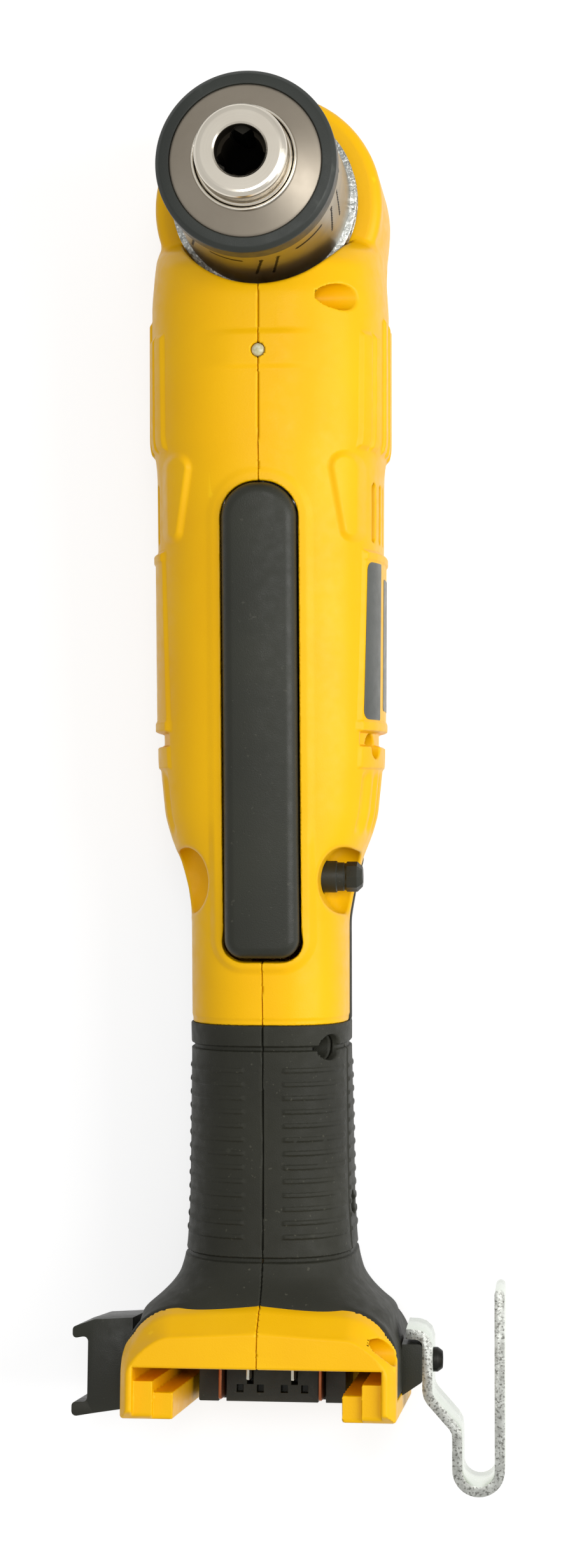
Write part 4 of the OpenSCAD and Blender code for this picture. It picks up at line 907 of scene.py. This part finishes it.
def foot_hole(name, profile, segments):
    """A cutter along X for the screws across the foot."""
    return lathe(name, profile, segments, axis="x", place=(0, *FOOT_SCREW))


hook = prism("bent_hook", hook_outline(2.6), *HOOK_Z)
cut(hook, foot_hole("hook_hole", [(CORE, 38), (2.1, 38), (2.1, 44), (CORE, 44)], 40))
bevelled(hook, 0.3, 2)
finish_piece(hook, "housing", [ZINC, SHEAR], ["belt_hook"])
for poly in hook.data.polygons:
    poly.material_index = int(abs(poly.normal.z) > 0.6)

seat_line = [(34.9, -297.2), (40.2, -297.2), (40.2, -306.9), (34.9, -310.5)]
boss = prism("hook_seat", fillet(seat_line, [0, 0.8, 0.9, 0]), *HOOK_Z)
cut(boss, foot_hole("boss_hole", [(CORE, 30), (2.1, 30), (2.1, 44), (CORE, 44)], 40))
bevelled(boss, 0.5, 3)
finish_piece(boss, "housing", BLACK, ["hook_boss"])

# Bit holder: an open channel that leans with the foot, grooved near its ends
channel = [(-34.9, -290.6), (-45, -291.2), (-50.7, -293.2), (-50.7, -296.2), (-46.6, -295.4),
           (-46.6, -312.3), (-50.7, -312.4), (-50.7, -316.2), (-45, -315.2), (-34.9, -313.6)]
back, front = 24, 52
holder = prism("bit_channel", fillet(channel, [0, 3, 1.0, 1.0, 1.2, 1.2, 1.0, 1.2, 3, 0]), back, front)
leaned(holder, (FOOT_SCREW[0], front))
stepped = [(CORE, -60), (3.5, -60), (3.5, -44.2), (2.1, -44.2), (2.1, -30), (CORE, -30)]
cut(holder, foot_hole("holder_hole", stepped, 48))
for z in (29, 47):
    groove = [(-303, z - 1.2), (-303, z + 1.2), (-288, z + 1.2), (-288, z - 1.2)]
    cut(holder, prism("groove", fillet(groove, 0.4), -53, -49, "x"))
bevelled(holder, 0.35, 2)
finish_piece(holder, "housing", BLACK, ["bit_holder"])


# Screws: pan heads with a six-lobed recess
def screw(name, x, y, z, side, head_r, head_t, shank_r, reach):
    """A screw whose head's seat is at x, pointing away from side."""
    dome = fillet([(CORE, 0), (head_r, 0), (head_r, head_t * 0.45), (head_r * 0.7, head_t), (CORE, head_t)],
                  [0, 0.2, 0.5, 0.6, 0])
    head = lathe(name + "_head", [(r, x + side * h) for r, h in dome], 48, axis="x", place=(0, y, z))
    star = []
    for a in np.arange(0, 2 * math.pi, math.pi / 24):
        lobe = head_r * (0.44 + 0.09 * math.cos(6 * a))
        star.append((lobe * math.cos(a) + y, lobe * math.sin(a) + z))
    ends = sorted((x + side * head_t * 0.35, x + side * (head_t + 1)))
    cut(head, prism(name + "_star", star, ends[0], ends[1], "x"))
    root, pitch = shank_r * 0.8, 1.2
    thread = [(CORE, 0), (root, 0)]
    for k in range(int(reach / pitch)):
        h = pitch * k + pitch / 2
        thread += [(root, h - 0.45), (shank_r, h - 0.05), (shank_r, h + 0.05), (root, h + 0.45)]
    thread += [(root, reach), (CORE, reach)]
    shank = lathe(name + "_shank", [(r, x - side * h) for r, h in thread], 32, axis="x", place=(0, y, z))
    return shade(joined(name, [head, shank]), 32)


fixings = [screw("case_screw_%d" % k, seat, sy, sz, 1, 3.0, 2.4, 1.5, seat + 6)
           for k, (sy, sz, seat) in enumerate(SCREWS)]
finish_piece(joined("case_screws", fixings), "housing", OXIDE, ["housing_screws"])
for name, node, seat, side, reach in (("hook_fixing", "hook_screw", 42.8, 1, 12),
                                      ("holder_fixing", "bit_holder_screw", -44.2, -1, 14.5)):
    fixing = screw(name, seat, *FOOT_SCREW, side, 3.2, 2.4, 2.0, reach)
    finish_piece(fixing, "housing", OXIDE, [node])


# Direction button: a collar at its root, a stem with a line round it, and an eight-sided head
def head_flats(a, r, h):
    half = math.pi / 8
    return np.where(h > 20.6, r * (np.cos(half) / np.cos((a % (2 * half)) - half) - 1), 0)


stem_line = [(CORE, -13.9), (4.15, -13.9), (4.15, 18.0), (3.75, 18.2), (3.75, 19.9), (3.55, 20.0),
             (3.55, 20.4), (3.95, 20.7), (3.95, 23.4), (2.6, 24.8), (CORE, 24.8)]
stem_line = fillet(stem_line, [0, 0.8, 0.2, 0.1, 0.1, 0.1, 0.1, 0.1, 0.15, 0.15, 0], 3)
stem = lathe("cross_bolt", stem_line, 96, head_flats, axis="x", place=(0, *BUTTON))
arrow = [(BUTTON[0] - 1.6, BUTTON[1] - 1.5), (BUTTON[0] - 1.6, BUTTON[1] + 1.5), (BUTTON[0] + 1.7, BUTTON[1])]
cut(stem, prism("arrow", arrow, 24.3, 26, "x"))
finish_piece(shade(stem, 20), "direction_button", BLACK, ["direction_button"])

# Work light: a domed lens in its hole
lens_line = [(CORE, 59.2), (1.7, 59.2), (1.7, 67.5), (1.62, 67.9), (1.35, 68.2), (0.8, 68.45), (CORE, 68.55)]
lens = lathe("lamp_lens", lens_line, 64, place=(0, LIGHT_Y, 0))
finish_piece(lens, "housing", LENS, ["led_lens"])


# Bare label plates on the right panel
def plate(name, y0, y1, z0, z1, radii):
    """A thin film laid on the right shell's skin, with rounded corners."""
    bm = bmesh.new()
    bm.faces.new([bm.verts.new((0, a, b)) for a, b in fillet(box(y0, y1, z0, z1), radii, 5)])
    for normal, first, last, count in (((0, 1, 0), y0, y1, 60), ((0, 0, 1), z0, z1, 18)):
        normal = Vector(normal)
        for v in np.linspace(first, last, count)[1:-1]:
            every = bm.verts[:] + bm.edges[:] + bm.faces[:]
            bmesh.ops.bisect_plane(bm, geom=every, plane_co=normal * float(v), plane_no=normal)
    # The skin's X at each point, between two bounds that close in on it
    points = np.array([v.co for v in bm.verts])
    field = housing_field(1)
    lo, hi = np.full(len(points), 20.0), np.full(len(points), 34.0)
    for _ in range(30):
        mid = (lo + hi) / 2
        inside = field(mid, points[:, 1], points[:, 2]) < 0
        lo, hi = np.where(inside, mid, lo), np.where(inside, hi, mid)
    for v, x in zip(bm.verts, hi):
        v.co = (float(x) * MM, v.co.y * MM, v.co.z * MM)
    bmesh.ops.recalc_face_normals(bm, faces=bm.faces)
    mesh = bpy.data.meshes.new(name)
    bm.to_mesh(mesh)
    bm.free()
    obj = linked(name, mesh)
    thick = obj.modifiers.new("thick", "SOLIDIFY")
    thick.thickness = 0.24 * MM
    thick.offset = 0.0
    apply_modifiers(obj)
    finish_piece(shade(obj, 40), "housing", LABEL)


plate("label_strip", -135.2, -94.5, 44.4, 53.8, [0.5, 0.5, 2.2, 2.2])
plate("label_side", -132.6, -98, 17, 40.4, 1.2)

# Terminals, set square to the foot
block = prism("terminal_body", fillet(box(-19.5, 19.5, -311, -299.05), 0.4, 2), 8, 34)
for x, wide, low in ((-13.2, 2.0, -311.5), (13.2, 2.0, -311.5), (-5.9, 1.7, -306.5), (5.9, 1.7, -306.5)):
    cut(block, prism("slot", box(x - wide / 2, x + wide / 2, low, -299.4), 26, 40))
for x in (-8.6, 8.6, -3.2, 3.2):
    cut(block, prism("notch", box(x - 0.9, x + 0.9, -308.6, -306.6), 31, 40))
bevelled(block, 0.2, 1)
tower = prism("terminal_tower", fillet(box(-12, 12, -306.4, -288), 0.6, 2), 12, 30)
bevelled(tower, 0.3, 2)
terminals = joined("terminals", [leaned(block, FOOT_TURN), tower])
finish_piece(terminals, "housing", BLACK, ["terminal_block"])

# Contact blades: the outer two are copper, the inner two bright
blades = []
for x, deep in ((-13.2, 11), (-5.9, 6), (5.9, 6), (13.2, 11)):
    side_view = fillet(box(-299 - deep, -299.2, 26.5, 40), [0, 0, 0.6, 1.2], 3)
    blades.append(bevelled(prism("blade", side_view, x - 0.4, x + 0.4, "x"), 0.15, 2))
contacts = leaned(joined("blades", blades), FOOT_TURN)
finish_piece(contacts, "housing", [COPPER, SILVER], ["contact_blades"])
for poly in contacts.data.polygons:
    poly.material_index = int(abs(poly.center.x) / MM < 9)


# Rest pad under the head, with grooves in its rim
def pad_grooves(a, r, h):
    return np.where((r > 17) & (h < 0.9), 0.35 * (np.cos(36 * a) - 1), 0)


pad_line = fillet([(CORE, 0), (17.6, 0), (19, 1.0), (19, 2.4), (CORE, 2.4)], [0, 0.6, 0.4, 0.2, 0], 3)
pad = lathe("rest_pad", pad_line, 120, pad_grooves)
finish_piece(pad, "housing", RUBBER, ["head_bumper"])


# Finishes for the CAD nodes that stay
KEPT = {
    "chuck_nose": NOSE, "jaw_1": JAW, "jaw_2": JAW, "jaw_3": JAW, "chuck_screw": OXIDE, "gearcase": CAST,
    "motor_magnets": MAGNET, "rotor": COPPER, "commutator": COPPER, "power_leads": LEADS, "led_board": BOARD,
    "switch_module": BLACK, "motor_end_cap": BLACK, "motor_fan": BLACK}
for name, obj in NODES.items():
    obj.data.materials.clear()
    obj.data.materials.append(KEPT.get(name, STEEL))
    shade(obj, 30)


# Stage: floor, backdrop light, lamps and camera
def floor_material():
    """White to the camera and in reflections, and a soft grey for the light that it throws back."""
    mat = bpy.data.materials.new("floor_white")
    mat.use_nodes = True
    nodes, links = mat.node_tree.nodes, mat.node_tree.links
    nodes.clear()
    out = nodes.new("ShaderNodeOutputMaterial")
    white, grey = nodes.new("ShaderNodeBsdfDiffuse"), nodes.new("ShaderNodeBsdfDiffuse")
    white.inputs["Color"].default_value = (0.5, 0.5, 0.5, 1)
    grey.inputs["Color"].default_value = (0.4, 0.4, 0.4, 1)
    glow = nodes.new("ShaderNodeEmission")
    glow.inputs["Strength"].default_value = 0.68
    add, mix = nodes.new("ShaderNodeAddShader"), nodes.new("ShaderNodeMixShader")
    links.new(white.outputs[0], add.inputs[0])
    links.new(glow.outputs[0], add.inputs[1])
    links.new(seen_by(nodes, links), mix.inputs["Fac"])
    links.new(grey.outputs[0], mix.inputs[1])
    links.new(add.outputs[0], mix.inputs[2])
    links.new(mix.outputs[0], out.inputs["Surface"])
    return mat


def seen_by(nodes, links):
    """1 for rays from the camera, through glass or off a mirror."""
    path = nodes.new("ShaderNodeLightPath")
    both = nodes.new("ShaderNodeMath")
    both.operation = "MAXIMUM"
    links.new(path.outputs["Is Camera Ray"], both.inputs[0])
    links.new(path.outputs["Is Transmission Ray"], both.inputs[1])
    most = nodes.new("ShaderNodeMath")
    most.operation = "MAXIMUM"
    links.new(both.outputs[0], most.inputs[0])
    links.new(path.outputs["Is Glossy Ray"], most.inputs[1])
    return most.outputs[0]


FLOOR_Z = -0.3
floor = mesh_object("floor", [(*p, FLOOR_Z) for p in box(-1500, 1500, -1600, 1400)], [[0, 1, 2, 3]])
floor.data.materials.append(floor_material())

world = bpy.data.worlds.new("surround")
bpy.context.scene.world = world
world.use_nodes = True
nodes, links = world.node_tree.nodes, world.node_tree.links
surround = nodes["Background"]
surround.inputs["Color"].default_value = (1, 1, 1, 1)
# Dimmer as a light than it looks
level = nodes.new("ShaderNodeMapRange")
level.inputs["To Min"].default_value = 0.52
level.inputs["To Max"].default_value = 0.75
links.new(seen_by(nodes, links), level.inputs["Value"])
links.new(level.outputs["Result"], surround.inputs["Strength"])


def lamp(name, place, aim, size, power):
    """An area lamp at a place, turned to its aim; lengths in millimetres, power in watts."""
    data = bpy.data.lights.new(name, "AREA")
    data.shape = "RECTANGLE"
    data.size, data.size_y = size[0] * MM, size[1] * MM
    data.energy = power
    obj = linked(name, data)
    obj.location = Vector(place) * MM
    obj.rotation_euler = (Vector(aim) - Vector(place)).to_track_quat("-Z", "Y").to_euler()
    return obj


lamps = [lamp("key", (640, -130, 520), (0, -150, 40), (420, 700), 4.4),
         lamp("top", (70, -10, 960), (0, -120, 50), (150, 300), 1.5)]

view = bpy.data.cameras.new("view")
view.sensor_width = 36
view.lens = CAMERA_LENS
view.clip_start, view.clip_end = 0.01, 20
camera = linked("view", view)
pitch, yaw, roll = (math.radians(v) for v in CAMERA_TURN)
turn = Matrix.Rotation(yaw, 4, "Y") @ Matrix.Rotation(pitch, 4, "X") @ Matrix.Rotation(roll, 4, "Z")
camera.matrix_world = Matrix.Translation(Vector(CAMERA_PLACE) * MM) @ turn
bpy.context.scene.camera = camera
bpy.context.scene.view_settings.view_transform = "Standard"
